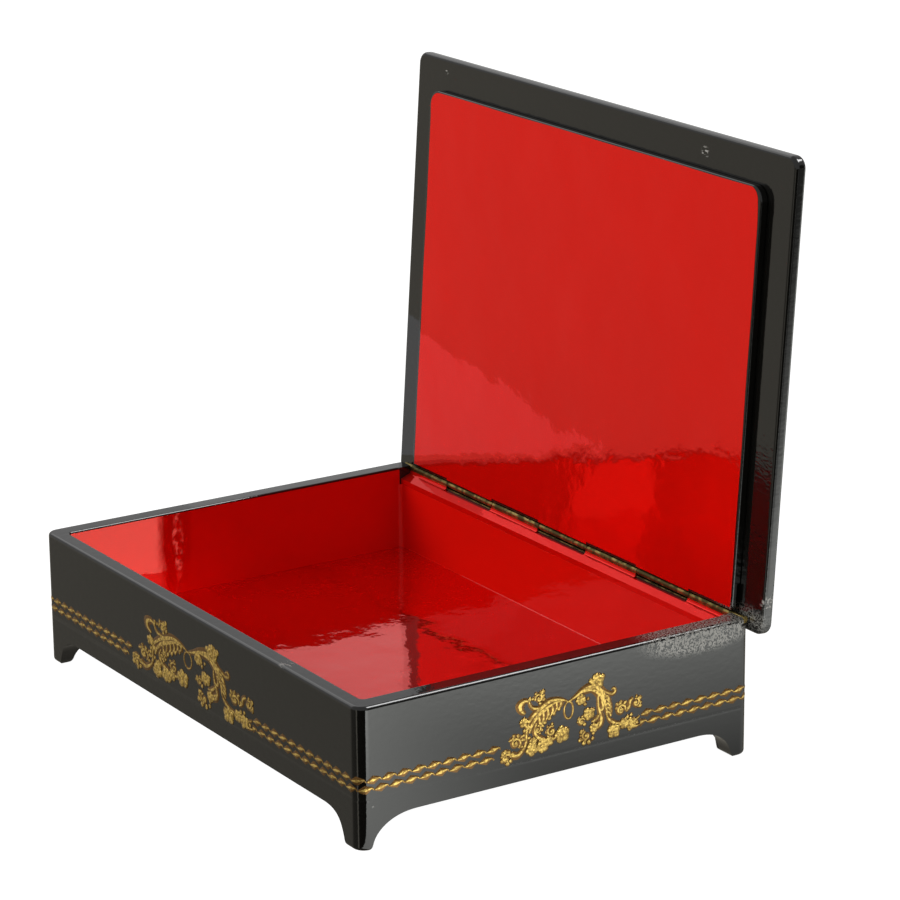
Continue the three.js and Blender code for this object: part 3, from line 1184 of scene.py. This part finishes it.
class Brush:
    """Gold brush work in a flat plane: u to the viewer's right and v up, in millimetres."""

    # Across and up, in shares of the half-width and the relief: a thin brim with a raised middle
    section = (
        (-2.0, -0.3), (-1.9, 0.1), (-0.75, 0.22), (-0.4, 0.85), (0.0, 1.0),
        (0.4, 0.85), (0.75, 0.22), (1.9, 0.1), (2.0, -0.3),
    )

    def __init__(self, stretch, relief, thickness=1.0):
        self.stretch = stretch
        self.relief = relief / MM
        self.thickness = thickness
        self.work = bmesh.new()
        self.beads = []

    def stroke(self, points, taper):
        """A domed stroke along a smooth curve; taper is its half-width at start, middle and end."""
        points = [Vector((u * self.stretch, v)) for u, v in points]
        ends = [points[0] * 2 - points[1], *points, points[-1] * 2 - points[-2]]
        steps = 5
        path = []
        for before, here, there, after in zip(ends, ends[1:], ends[2:], ends[3:]):
            for step in range(steps):
                t = step / steps
                path.append(
                    here
                    + (there - before) * t / 2
                    + (before * 2 - here * 5 + there * 4 - after) * t**2 / 2
                    + (here * 3 - before - there * 3 + after) * t**3 / 2
                )
        path.append(points[-1])
        self.ribbon(path, taper)

    def ribbon(self, path, taper):
        """Lays the stroke's domed section along a path and closes its ends."""
        last = len(path) - 1
        rings = []
        for index, spot in enumerate(path):
            ahead = (path[min(index + 1, last)] - path[max(index - 1, 0)]).normalized()
            side = Vector((-ahead.y, ahead.x))
            share = 2 * index / last
            start, middle, end = taper
            if share < 1:
                half = start + (middle - start) * share
            else:
                half = middle + (end - middle) * (share - 1)
            half *= self.thickness
            height = self.relief * min(1.0, 0.4 + half)
            rings.append(
                [
                    self.work.verts.new((*(spot + side * half * across), rise * height))
                    for across, rise in self.section
                ]
            )
        for here, there in zip(rings, rings[1:]):
            for index in range(len(here)):
                after = (index + 1) % len(here)
                self.work.faces.new((here[index], here[after], there[after], there[index]))
        self.work.faces.new(tuple(reversed(rings[0])))
        self.work.faces.new(rings[-1])

    def bead(self, place, radius):
        """A round dot of paint."""
        self.beads.append((place[0] * self.stretch, place[1], radius * self.thickness))

    def petal(self, root, tip, width=0.4):
        """A short full stroke."""
        middle = ((root[0] + tip[0]) / 2, (root[1] + tip[1]) / 2)
        self.stroke((root, middle, tip), (0.12, width, 0.14))

    def flower(self, centre, radius, petals, turn):
        """Round blobs of paint, each drawn out from a dot in the middle."""
        reach = radius * 0.75
        for petal in range(petals):
            angle = turn + petal * math.tau / petals
            tip = (centre[0] + reach * math.cos(angle), centre[1] + reach * math.sin(angle))
            self.petal(centre, tip, radius * 0.16)
            self.bead(tip, radius * 0.36)
        self.bead(centre, radius * 0.26)

    def curl(self, centre, radius, start, turn, width):
        """A spiral edged with dots that winds in to a dot; its start and turn are in degrees."""

        def spot(share, out=0.0):
            angle = math.radians(start + turn * share)
            reach = radius * (1 - 0.75 * share) + out
            return (centre[0] + reach * math.cos(angle), centre[1] + reach * math.sin(angle))

        steps = 9
        spiral = [spot(step / steps) for step in range(steps + 1)]
        self.stroke(spiral, (width * 0.7, width, width * 0.5))
        self.bead(centre, width)
        for share in (0.06, 0.18, 0.3, 0.42):
            self.bead(spot(share, width * 1.9), width * 0.8)

    def finish(self, name, to_face):
        """The strokes and dots as one mesh, put on a face of the case."""
        bmesh.ops.recalc_face_normals(self.work, faces=self.work.faces)
        mesh = bpy.data.meshes.new(name)
        self.work.to_mesh(mesh)
        self.work.free()
        strokes = new_object(name + "_strokes", mesh)
        dot = new_object("dot", self.dot_mesh())
        spots = bpy.data.meshes.new("dots")
        spots.from_pydata([(u, v, 0) for u, v, radius in self.beads], [], [])
        size = spots.attributes.new("size", "FLOAT", "POINT")
        size.data.foreach_set("value", [radius for u, v, radius in self.beads])
        dots = run_graph(
            new_object("dots", spots), dot_spread(), {"Dot": dot, "Finish": finish_named("gold_paint")}
        )
        bpy.data.objects.remove(dot)
        made = joined(name, [strokes, dots])
        made.data.transform(to_face @ Matrix.Scale(MM, 4))
        made.data.shade_smooth()
        return made

    def dot_mesh(self):
        """A low dome in a wider thin brim, for a dot of radius one, with its underside a little sunk."""
        work = bmesh.new()
        bmesh.ops.create_uvsphere(work, u_segments=12, v_segments=6, radius=1)
        brim, brim_height = 1.7, 0.03
        dome, rise, sunk = 0.75, 0.3, 0.12
        for vertex in work.verts:
            x, y, z = vertex.co
            on_brim = abs(z) < 0.01
            if on_brim:
                vertex.co = Vector((x * brim, y * brim, brim_height))
            else:
                vertex.co = Vector((x * dome, y * dome, z * (rise if z > 0 else sunk)))
        mesh = bpy.data.meshes.new("dot")
        work.to_mesh(mesh)
        work.free()
        return mesh


def dot_spread():
    """The tree that sets a dot at each point, scaled by the point's own size."""
    graph = Graph("dot_spread", {"Dot": "Object", "Finish": "Material"})
    dot = graph.node("ObjectInfo", {}, {"Object": graph.given["Dot"]})["Geometry"]
    size = graph.node("InputNamedAttribute", {"data_type": "FLOAT"}, {"Name": "size"})["Attribute"]
    placed = graph.node(
        "InstanceOnPoints", {}, {"Points": graph.given["Geometry"], "Instance": dot, "Scale": size}
    )
    return graph.finish(placed["Instances"])


def stripe_row():
    """The tree that repeats a stroke along a path and bends each one to it."""
    graph = Graph(
        "stripe_row",
        {
            "Stroke": "Object",
            "Pitch": "Float",
            "Shift": "Float",
            "Height": "Float",
            "Finish": "Material",
        },
    )
    path = graph.node("MeshToCurve", {}, {"Mesh": graph.given["Geometry"]})["Curve"]
    run = graph.node("CurveLength", {}, {"Curve": path})["Length"]
    count = graph.maths("FLOOR", graph.maths("DIVIDE", run, graph.given["Pitch"]))
    pitch = graph.maths("DIVIDE", run, count)
    first = graph.maths("MULTIPLY", pitch, graph.given["Shift"])
    line = graph.node(
        "MeshLine",
        {"mode": "OFFSET"},
        {
            "Count": count,
            "Start Location": graph.node("ShaderNodeCombineXYZ", {}, {"X": first})["Vector"],
            "Offset": graph.node("ShaderNodeCombineXYZ", {}, {"X": pitch})["Vector"],
        },
    )["Mesh"]
    stroke = graph.node("ObjectInfo", {}, {"Object": graph.given["Stroke"]})["Geometry"]
    laid = graph.node("InstanceOnPoints", {}, {"Points": line, "Instance": stroke})["Instances"]
    real = graph.node("RealizeInstances", {}, {"Geometry": laid})["Geometry"]
    place = graph.node(
        "ShaderNodeSeparateXYZ", {}, {"Vector": graph.node("InputPosition")["Position"]}
    )
    spot = graph.node("SampleCurve", {"mode": "LENGTH"}, {"Curves": path, "Length": place["X"]})
    inward = graph.vector("CROSS_PRODUCT", (0.0, 0.0, 1.0), second=spot["Tangent"])
    sideways = graph.vector("SCALE", inward, scale=place["Y"])
    lift = graph.maths("ADD", place["Z"], graph.given["Height"])
    upward = graph.node("ShaderNodeCombineXYZ", {}, {"Z": lift})["Vector"]
    there = graph.vector("ADD", graph.vector("ADD", spot["Position"], second=sideways), second=upward)
    bent = graph.node("SetPosition", {}, {"Geometry": real, "Position": there})["Geometry"]
    return graph.finish(bent)


class Face:
    """One outer face of the case, seen square on from outside."""

    def __init__(self, name, corner, along, length, scroll, loop):
        self.name = name
        self.corner = Vector((*corner, 0))
        self.along = Vector((*along, 0))
        self.out = self.along.cross(Vector((0, 0, 1)))
        self.length = length
        self.scroll = scroll
        self.loop = loop

    def to_face(self):
        """Carries the brush plane on to the face, with the loop's middle at u = 0."""
        turn = Matrix((self.along, (0, 0, 1), self.out)).transposed().to_4x4()
        return Matrix.Translation(self.corner + self.along * self.loop) @ turn

    def stretch(self):
        """How much wider than drawn the scroll is on this face."""
        return self.scroll / (SCROLL_WIDTH * MM)


def case_faces(ornament):
    """The four outer faces, anticlockwise from the front as seen from above."""
    low, high = CASE_LOW, CASE_HIGH
    width, depth = high.x - low.x, high.y - low.y
    wide = (ornament.front_scroll, ornament.front_loop)
    narrow = (ornament.side_scroll, ornament.side_loop)
    return (
        Face("front", (low.x, low.y), (1, 0), width, *wide),
        Face("right", (high.x, low.y), (0, 1), depth, *narrow),
        Face("back", (high.x, high.y), (-1, 0), width, *wide),
        Face("left", (low.x, high.y), (0, -1), depth, *narrow),
    )


# The scroll is drawn in millimetres: u from the middle of its loop, v up from the table
SCROLL_WIDTH = 51.5
SCROLL_LEFT = -24.5
SCROLL_RIGHT = 26.3
STEMS = (
    (((0, 31.7), (-3, 33), (-6.5, 33.2), (-9.5, 31.9), (-12, 30.4), (-14.6, 28)), (0.14, 0.6, 0.45)),
    (
        ((-2, 32.3), (-5, 32.4), (-8.6, 30.9), (-11.3, 29.2), (-13.2, 27), (-14.2, 24.6)),
        (0.1, 0.75, 0.3),
    ),
    (((-7.5, 32.8), (-9.5, 32.1), (-12, 32), (-13.5, 32.9), (-14.3, 34.6)), (0.15, 0.35, 0.25)),
    (((-14, 34.6), (-15.8, 35.1), (-17.4, 34), (-17.1, 32.4), (-15.6, 31)), (0.2, 0.7, 0.25)),
    (
        ((-14.4, 28), (-15.2, 25), (-15.3, 22), (-16.4, 19.9), (-18.5, 18.4), (-20.4, 19)),
        (0.3, 0.35, 0.55),
    ),
    (
        ((-11.6, 27.2), (-12.3, 25.2), (-11.4, 22.9), (-9, 21.4), (-6.5, 20.9), (-4.4, 21.4)),
        (0.25, 0.5, 0.3),
    ),
    (((-4.4, 21.4), (-3.4, 22.4), (-4.2, 23.4)), (0.25, 0.3, 0.15)),
    (((0, 31.7), (2.5, 32.7), (5.5, 34.1), (9.5, 34.6), (11.8, 32.6), (13.5, 30)), (0.14, 0.7, 0.6)),
    (((5.5, 33.6), (8.5, 33.6), (11, 32), (12.8, 29.6), (13.8, 27), (14, 24.3)), (0.15, 0.7, 0.25)),
    (
        ((11.5, 33.2), (13.6, 31.9), (15.6, 30.9), (17, 31.4), (16.6, 32.6), (15.6, 32.3)),
        (0.3, 0.35, 0.15),
    ),
    (
        ((10.8, 31.8), (10.8, 28.8), (11.4, 26), (12, 23.6), (11.4, 21.6), (9.4, 21), (7.9, 21.7)),
        (0.2, 0.5, 0.25),
    ),
    (((12, 29.6), (12.6, 27.7), (12.1, 26.4), (11, 27)), (0.3, 0.45, 0.2)),
    (((14, 24.4), (15, 22.6), (17.2, 21.1), (19.4, 20.9)), (0.2, 0.4, 0.25)),
    (((21, 24), (22.2, 25.2), (22.6, 27), (23.8, 28)), (0.2, 0.4, 0.3)),
    (((20, 21.4), (22, 20.8), (24.2, 20.6), (26.2, 21.6)), (0.25, 0.4, 0.15)),
    (((21.4, 20.6), (23.2, 19.4), (24.6, 18.6), (26.2, 18.8)), (0.2, 0.4, 0.15)),
    (((-20.4, 19), (-22.4, 20.6), (-24.2, 20.4)), (0.2, 0.3, 0.12)),
)
LOBES = (
    ((-2.8, 32.6), (-2.7, 31.4), (-3.4, 30.4)),
    ((-4.4, 32.4), (-4.2, 30.8), (-5.1, 29.3)),
    ((-6, 31.9), (-5.7, 30), (-6.7, 28.2)),
    ((-7.6, 31.2), (-7.3, 29.2), (-8.4, 27.2)),
    ((-9.2, 30.4), (-9, 28.2), (-10.2, 26.2)),
    ((-10.7, 29.4), (-10.3, 27.2), (-8.9, 25.6)),
    ((13, 31), (14.2, 30.3), (15, 29)),
    ((13.5, 29.8), (14.7, 28.9), (15.4, 27.6)),
    ((13.9, 28.4), (15.1, 27.4), (15.7, 26.2)),
    ((14, 27), (15.2, 26), (15.8, 24.8)),
    ((14, 25.6), (15.1, 24.8), (15.5, 23.6)),
    ((11.2, 25.2), (9.8, 23.8), (8.2, 23.4)),
    ((11.6, 23), (10.2, 22), (8.4, 22.6)),
    ((-13.4, 25.6), (-14.9, 26.4), (-15.6, 27.6)),
)
CURLS = (
    ((-10.7, 35), 1.5, 200, -430, 0.38),
    ((-19, 22.4), 1.9, -60, 420, 0.4),
    ((-6.2, 23.6), 1.7, 60, 400, 0.35),
    ((-22.3, 18.2), 1.6, 10, 330, 0.42),
    ((4.8, 24.2), 1.2, 20, 360, 0.32),
    ((19.3, 25), 1.7, -20, 420, 0.42),
    ((24.8, 26.2), 1.4, 110, -400, 0.35),
    ((-11.2, 25.2), 1.3, 90, -360, 0.35),
    ((6.4, 19.4), 1.5, 100, 380, 0.36),
)
FLOWERS = (
    ((-16.1, 28.4), 1.2, 5, 0.3),
    ((-2.4, 21.8), 1.9, 5, 0.5),
    ((-9.4, 19.7), 1.6, 6, 0.2),
    ((-13.3, 19.4), 1.6, 5, 0.9),
    ((-12.8, 21.7), 1.1, 5, 0.1),
    ((10.4, 36), 1.8, 5, 0.4),
    ((4.4, 31.4), 1.3, 6, 0.2),
    ((7.4, 26.2), 1.5, 5, 0.7),
    ((16.6, 18.9), 1.7, 5, 0.3),
    ((20.4, 20.4), 1.3, 6, 0.0),
    ((23, 19.8), 1.5, 5, 0.6),
    ((-7, 20.6), 1.2, 5, 0.4),
    ((9.2, 21.4), 1.2, 5, 0.2),
)
PETALS = (
    ((-19.8, 24.2), (-21.6, 23.6)),
    ((-19.3, 24.4), (-20.2, 25.4)),
    ((-18.4, 24.3), (-18.2, 25.4)),
    ((-17.4, 23.6), (-16.6, 24.6)),
    ((18.2, 26.5), (17.4, 27.6)),
    ((19.2, 26.8), (19.2, 28.2)),
    ((20.4, 26.6), (21.2, 27.6)),
    ((-23.4, 19.5), (-24.2, 20.2)),
    ((-22.6, 19.9), (-22.8, 21.2)),
    ((-14.9, 27.2), (-13.2, 26.2)),
    ((-9.8, 36), (-9.3, 36.9)),
    ((25.6, 27.2), (26.2, 28)),
)
DOTS = (
    ((-9.2, 36.9), 0.4), ((-9, 34.4), 0.38), ((-10.3, 33.4), 0.35), ((-14, 35.3), 0.4),
    ((-3.5, 30.1), 0.35), ((-5.3, 29), 0.35), ((-6.9, 27.9), 0.38), ((-8.6, 26.9), 0.38),
    ((-0.4, 22.8), 0.32), ((-0.9, 20.6), 0.32), ((-22, 16.7), 0.42), ((-23.8, 17.9), 0.42),
    ((-20.9, 17.3), 0.38), ((-9.7, 18), 0.4), ((-8, 18.6), 0.36), ((-11, 18.8), 0.36),
    ((8.1, 36.6), 0.42), ((9.5, 37.7), 0.42), ((12.4, 37.2), 0.45), ((11.1, 37.9), 0.35),
    ((5.8, 30.9), 0.3), ((7.1, 31.1), 0.3), ((6, 29.6), 0.34), ((3.4, 32.6), 0.3),
    ((6.3, 27.4), 0.42), ((8.9, 27.1), 0.4), ((3.8, 25.2), 0.36), ((5.8, 23.2), 0.36),
    ((4.2, 18.4), 0.4), ((4.6, 20.9), 0.38), ((5.6, 17.2), 0.42), ((7.4, 17.1), 0.42),
    ((8.8, 18), 0.36), ((9, 19.6), 0.34), ((15.2, 20.2), 0.36), ((18.2, 20), 0.36),
    ((17.9, 17.4), 0.4), ((15.3, 17.5), 0.38), ((26.2, 27.4), 0.4), ((26.3, 24.9), 0.38),
    ((22.4, 18.1), 0.36), ((25.2, 19.7), 0.36), ((21.6, 22.2), 0.38), ((23, 22.6), 0.34),
    ((-15.9, 25.8), 0.36), ((-16.1, 24.4), 0.34), ((-16, 23), 0.32), ((-14.3, 23.2), 0.34),
)


def draw_scroll(brush):
    """Draws the scroll: a hanging loop between two leafy sprays."""
    turns = [step * math.tau / 16 for step in range(17)]
    brush.stroke([(1.6 * math.sin(turn), 29 + 2.7 * math.cos(turn)) for turn in turns], (0.17,) * 3)
    for path, taper in STEMS:
        brush.stroke(path, taper)
    for path in LOBES:
        brush.stroke(path, (0.3, 0.42, 0.16))
    for root, tip in PETALS:
        brush.petal(root, tip)
    for centre, radius, start, turn, width in CURLS:
        brush.curl(centre, radius, start, turn, width)
    for centre, radius, petals, turn in FLOWERS:
        brush.flower(centre, radius, petals, turn)
    for place, radius in DOTS:
        brush.bead(place, radius)


class CASKET_OT_scrolls(bpy.types.Operator):
    """Paint the gold scroll on each outer face"""

    bl_idname = "casket.scrolls"
    bl_label = "Scrolls"

    def execute(self, context):
        ornament = context.scene.casket_ornament
        for face in case_faces(ornament):
            brush = Brush(face.stretch(), ornament.relief, 1.35 + (face.stretch() - 1) * 0.4)
            draw_scroll(brush)
            scroll = brush.finish("scroll_" + face.name, face.to_face())
            hand_over(scroll, "box", "gold_paint")
        return {"FINISHED"}


class CASKET_OT_stripes(bpy.types.Operator):
    """Paint the double gold stripe that runs round the corners from scroll to scroll"""

    bl_idname = "casket.stripes"
    bl_label = "Stripes"

    def execute(self, context):
        ornament = context.scene.casket_ornament
        faces = case_faces(ornament)
        tree = stripe_row()
        stroke = self.one_stroke(ornament)
        for face, following in zip(faces, faces[1:] + faces[:1]):
            runs = []
            for height, shift in ((ornament.upper_row, 0.5), (ornament.lower_row, 0.0)):
                path = bpy.data.meshes.new("path")
                places = self.round_corner(face, following)
                edges = [(index, index + 1) for index in range(len(places) - 1)]
                path.from_pydata(places, edges, [])
                values = {
                    "Stroke": stroke,
                    "Pitch": ornament.stroke_pitch,
                    "Shift": shift,
                    "Height": height,
                    "Finish": finish_named("gold_paint"),
                }
                runs.append(run_graph(new_object("row", path), tree, values))
            stripe = joined("stripes_" + face.name, runs)
            stripe.data.shade_smooth()
            hand_over(stripe, "box", "gold_paint")
        bpy.data.objects.remove(stroke)
        return {"FINISHED"}

    def one_stroke(self, ornament):
        """One S-shaped stroke with the thin line that leads on to the next."""
        brush = Brush(1.0, ornament.relief)
        half = ornament.stroke_length / MM / 2
        width = ornament.stroke_width / MM / 2
        brush.stroke(
            ((-half, -0.35), (-half * 0.5, -0.2), (0, 0), (half * 0.5, 0.2), (half, 0.35)),
            (0.2, width, 0.2),
        )
        brush.stroke(((half * 0.6, 0.5), (half, 0.3), (half * 1.35, -0.5)), (0.12, 0.2, 0.12))
        bmesh.ops.recalc_face_normals(brush.work, faces=brush.work.faces)
        mesh = bpy.data.meshes.new("stroke")
        brush.work.to_mesh(mesh)
        brush.work.free()
        mesh.transform(Matrix.Rotation(math.pi / 2, 4, "X") @ Matrix.Scale(MM, 4))
        return new_object("stroke", mesh)

    def round_corner(self, face, following, steps=8):
        """The path of one run, from one scroll's right end to the next scroll's left end."""
        radius = sizes().corner
        corner = face.corner + face.along * face.length
        middle = corner - face.along * radius - face.out * radius
        places = [face.corner + face.along * (face.loop + SCROLL_RIGHT * MM * face.stretch())]
        for step in range(steps + 1):
            angle = step / steps * math.pi / 2
            places.append(middle + (face.out * math.cos(angle) + face.along * math.sin(angle)) * radius)
        reach = following.loop + SCROLL_LEFT * MM * following.stretch()
        places.append(following.corner + following.along * reach)
        return places


def card(name, corners, colour, strength):
    """A glowing card that only the lacquer sees; strength may follow the finish's own nodes."""
    mesh = bpy.data.meshes.new(name)
    mesh.from_pydata(corners, [], [(0, 1, 2, 3)])
    made = new_object(name, mesh)
    finish = Finish.named(name)
    power = strength(finish) if callable(strength) else strength
    glow = finish.node("ShaderNodeEmission", {}, {"Color": (*colour, 1), "Strength": power})["Emission"]
    clear = finish.node("ShaderNodeBsdfTransparent")["BSDF"]
    behind = finish.node("ShaderNodeNewGeometry")["Backfacing"]
    seen = finish.node("ShaderNodeMixShader", {}, {0: behind, 1: glow, 2: clear})["Shader"]
    finish.node("ShaderNodeOutputMaterial", {}, {"Surface": seen})
    mesh.materials.append(finish.owner)
    made.visible_camera = False
    made.visible_diffuse = False
    made.visible_shadow = False
    return made


class CASKET_OT_stage(bpy.types.Operator):
    """Set up the camera, the pale floor and the soft light"""

    bl_idname = "casket.stage"
    bl_label = "Stage"

    def execute(self, context):
        studio = context.scene.casket_studio
        self.add_camera(context, studio)
        self.add_floor()
        self.add_world(context, studio)
        self.add_key(context, studio)
        self.add_cards()
        return {"FINISHED"}

    def add_camera(self, context, studio):
        """Puts the camera where its settings say."""
        back = Vector(
            (
                math.sin(studio.azimuth) * math.cos(studio.elevation),
                -math.cos(studio.azimuth) * math.cos(studio.elevation),
                math.sin(studio.elevation),
            )
        )
        right = Vector((0, 0, 1)).cross(back).normalized()
        up = back.cross(right)
        turn = Matrix((right, up, back)).transposed() @ Matrix.Rotation(studio.roll, 3, "Z")
        camera = bpy.data.objects.new("camera", bpy.data.cameras.new("camera"))
        camera.data.lens = studio.lens
        camera.data.sensor_width = 36
        camera.matrix_world = Matrix.Translation(studio.place) @ turn.to_4x4()
        context.scene.collection.objects.link(camera)
        context.scene.camera = camera

    def add_floor(self):
        """The pale ground, which glows so that it stays white and isn't mirrored."""
        mesh = bpy.data.meshes.new("floor")
        reach = 4
        mesh.from_pydata(
            [(-reach, -reach, 0), (reach, -reach, 0), (reach, reach, 0), (-reach, reach, 0)],
            [],
            [(0, 1, 2, 3)],
        )
        ground = new_object("floor", mesh)
        pale = Finish.named("pale_floor").surface(
            Base_Color=(0.35, 0.35, 0.35),
            Roughness=0.9,
            Specular_IOR_Level=0.0,
            Emission_Color=(1.0, 1.0, 1.0),
            Emission_Strength=1.0,
        )
        mesh.materials.append(pale)
        ground.visible_glossy = False

    def add_world(self, context, studio):
        """White to the eye, softer as light, and darker in places where the lacquer mirrors it."""
        world = bpy.data.worlds.new("studio")
        context.scene.world = world
        sky = Finish(world)
        ray = sky.node("ShaderNodeLightPath")
        toward = sky.node(
            "ShaderNodeSeparateXYZ", {}, {"Vector": sky.node("ShaderNodeTexCoord")["Generated"]}
        )
        across, ahead, up = toward["X"], toward["Y"], toward["Z"]
        below = 1 - sky.band(up, -0.05, 0.1)
        dark_front = (
            (sky.band(across, -0.7, -0.5) * 0.5 + sky.band(across, 0.3, 0.36) * 0.48)
            * (1 - sky.band(ahead, 0.1, 0.4))
            * below
        )
        dark_behind = (
            sky.band(across, 0.5, 0.7)
            * sky.band(ahead, 0.2, 0.4)
            * sky.band(up, -0.02, 0.05)
            * (1 - sky.band(up, 0.35, 0.5))
        )
        bright_front = (
            sky.band(across, 0.1, 0.16)
            * (1 - sky.band(across, 0.26, 0.32))
            * (1 - sky.band(ahead, -0.85, -0.7))
            * below
        )
        left_above = (1 - sky.band(across, -0.7, -0.58)) * sky.band(up, 0.4, 0.5)
        overhead = (
            sky.band(across, -0.02, 0.04)
            * (1 - sky.band(across, 0.45, 0.5))
            * sky.band(ahead, 0.3, 0.4)
            * sky.band(up, 0.68, 0.72)
        )
        lowest = 1 - sky.band(up, -0.32, -0.2)
        level = studio.mirrored * (1 - below * 0.14 - lowest * 0.34)
        mirrored = level * (1 - dark_front) * (1 - dark_behind * 0.9)
        mirrored = mirrored + bright_front * 0.9 + left_above * 0.9 + overhead * 14.0
        strength = (
            (1 - ray["Is Camera Ray"]) * (1 - ray["Is Glossy Ray"]) * studio.sky
            + ray["Is Camera Ray"]
            + ray["Is Glossy Ray"] * mirrored
        )
        tint = sky.mix(below * ray["Is Glossy Ray"], (1.0, 1.0, 1.0), (1.0, 0.94, 0.8))
        glow = sky.node("ShaderNodeBackground", {}, {"Color": tint, "Strength": strength})["Background"]
        sky.node("ShaderNodeOutputWorld", {}, {"Surface": glow})
        context.scene.view_settings.view_transform = "Standard"

    def add_key(self, context, studio):
        """The large soft light in front, to the left and above."""
        lamp = bpy.data.lights.new("key_light", "AREA")
        lamp.shape = "DISK"
        lamp.size = 0.8
        lamp.energy = studio.key
        key = bpy.data.objects.new("key_light", lamp)
        key.location = (-0.6, -1.35, 0.8)
        target = Vector((0, 0, 0.06))
        key.rotation_euler = (target - key.location).to_track_quat("-Z", "Y").to_euler()
        key.visible_glossy = False
        context.scene.collection.objects.link(key)

    def add_cards(self):
        """What the right face, the floor and the near end of the left inner wall mirror."""
        reach = 3
        lift = 0.4 * MM
        right = CASE_HIGH.x
        far_right = (
            (right, CASE_LOW.y, lift),
            (reach, CASE_LOW.y, lift),
            (reach, reach, lift),
            (right, reach, lift),
        )
        span = 0.8

        def fading(finish):
            spot = finish.node("ShaderNodeTexCoord")["Object"]
            sides = finish.node("ShaderNodeSeparateXYZ", {}, {"Vector": spot})
            apart = (sides["X"] - right) * (1 / span)
            stops = [(0, 0.2), (0.07, 0.5), (0.15, 0.95), (0.22, 0.8), (0.38, 0.32), (0.75, 0.06)]
            shade = finish.node(
                "ShaderNodeValToRGB",
                {"stops": [(place, (glow,) * 3) for place, glow in stops]},
                {"Fac": apart},
            )["Color"]
            near_front = 1 - finish.band(sides["Y"] - CASE_LOW.y, 0.0, 0.09)
            far_glow, near_glow = 3.4, 1.8
            return shade * far_glow + near_front * near_glow

        card("right_card", far_right, (0.98, 1.0, 0.96), fading)
        x = CASE_LOW.x - 10 * MM
        near, far = CASE_LOW.y + 51 * MM, CASE_HIGH.y + 3 * MM
        low, high = 44 * MM, 97 * MM
        past_lid = ((x, near, low), (x, far, low), (x, far, high), (x, near, low + MM))
        card("floor_card", past_lid, (1.0, 1.0, 1.0), 0.75)
        x = CASE_LOW.x + 30 * MM
        near, far = CASE_LOW.y + 14 * MM, CASE_LOW.y + 64 * MM
        low, high = 6 * MM, 38 * MM

        def window(finish):
            spot = finish.node("ShaderNodeTexCoord")["Object"]
            sides = finish.node("ShaderNodeSeparateXYZ", {}, {"Vector": spot})
            along = sides["Y"] - CASE_LOW.y
            pane = 1 - finish.band(along, 50 * MM, 54 * MM)
            glint = finish.band(along, 57 * MM, 58 * MM) * (1 - finish.band(along, 59 * MM, 61 * MM))
            broken = finish.band(finish.noise(2.5), 0.45, 0.6)
            brightness = 3.9
            return (pane + glint * broken * 0.7) * brightness

        patch = ((x, near, low), (x, near, high), (x, far, high), (x, far, low))
        card("inner_card", patch, (1.0, 0.46, 0.37), window)


class CASKET_PT_parts(bpy.types.Panel):
    """The steps that build the casket"""

    bl_label = "Casket"
    bl_idname = "CASKET_PT_parts"
    bl_space_type = "VIEW_3D"
    bl_region_type = "UI"
    bl_category = "Casket"

    def draw(self, context):
        for operator in OPERATORS:
            self.layout.operator(operator.bl_idname)


OPERATORS = (
    CASKET_OT_stage,
    CASKET_OT_walls,
    CASKET_OT_lining,
    CASKET_OT_bead,
    CASKET_OT_base,
    CASKET_OT_floor,
    CASKET_OT_hinge,
    CASKET_OT_lid,
    CASKET_OT_panel,
    CASKET_OT_scrolls,
    CASKET_OT_stripes,
)
GROUPS = {
    "casket_sizes": CasketSizes,
    "casket_hinge": HingeSizes,
    "casket_ornament": OrnamentSizes,
    "casket_colours": CasketColours,
    "casket_studio": StudioSettings,
}


def register():
    """Registers the classes and puts the settings on the scene."""
    for group in GROUPS.values():
        bpy.utils.register_class(group)
    for name, group in GROUPS.items():
        setattr(bpy.types.Scene, name, PointerProperty(type=group))
    for kind in (*OPERATORS, CASKET_PT_parts):
        bpy.utils.register_class(kind)


def unregister():
    """Takes the settings and the classes away again."""
    for kind in reversed((*OPERATORS, CASKET_PT_parts)):
        bpy.utils.unregister_class(kind)
    for name, group in GROUPS.items():
        delattr(bpy.types.Scene, name)
        bpy.utils.unregister_class(group)


def main():
    """Builds the casket step by step."""
    register()
    bpy.ops.casket.stage()
    bpy.ops.casket.walls()
    bpy.ops.casket.lining()
    bpy.ops.casket.bead()
    bpy.ops.casket.base()
    bpy.ops.casket.floor()
    bpy.ops.casket.hinge()
    bpy.ops.casket.lid()
    bpy.ops.casket.inner_panel()
    bpy.ops.casket.scrolls()
    bpy.ops.casket.stripes()


if __name__ == "__main__":
    main()
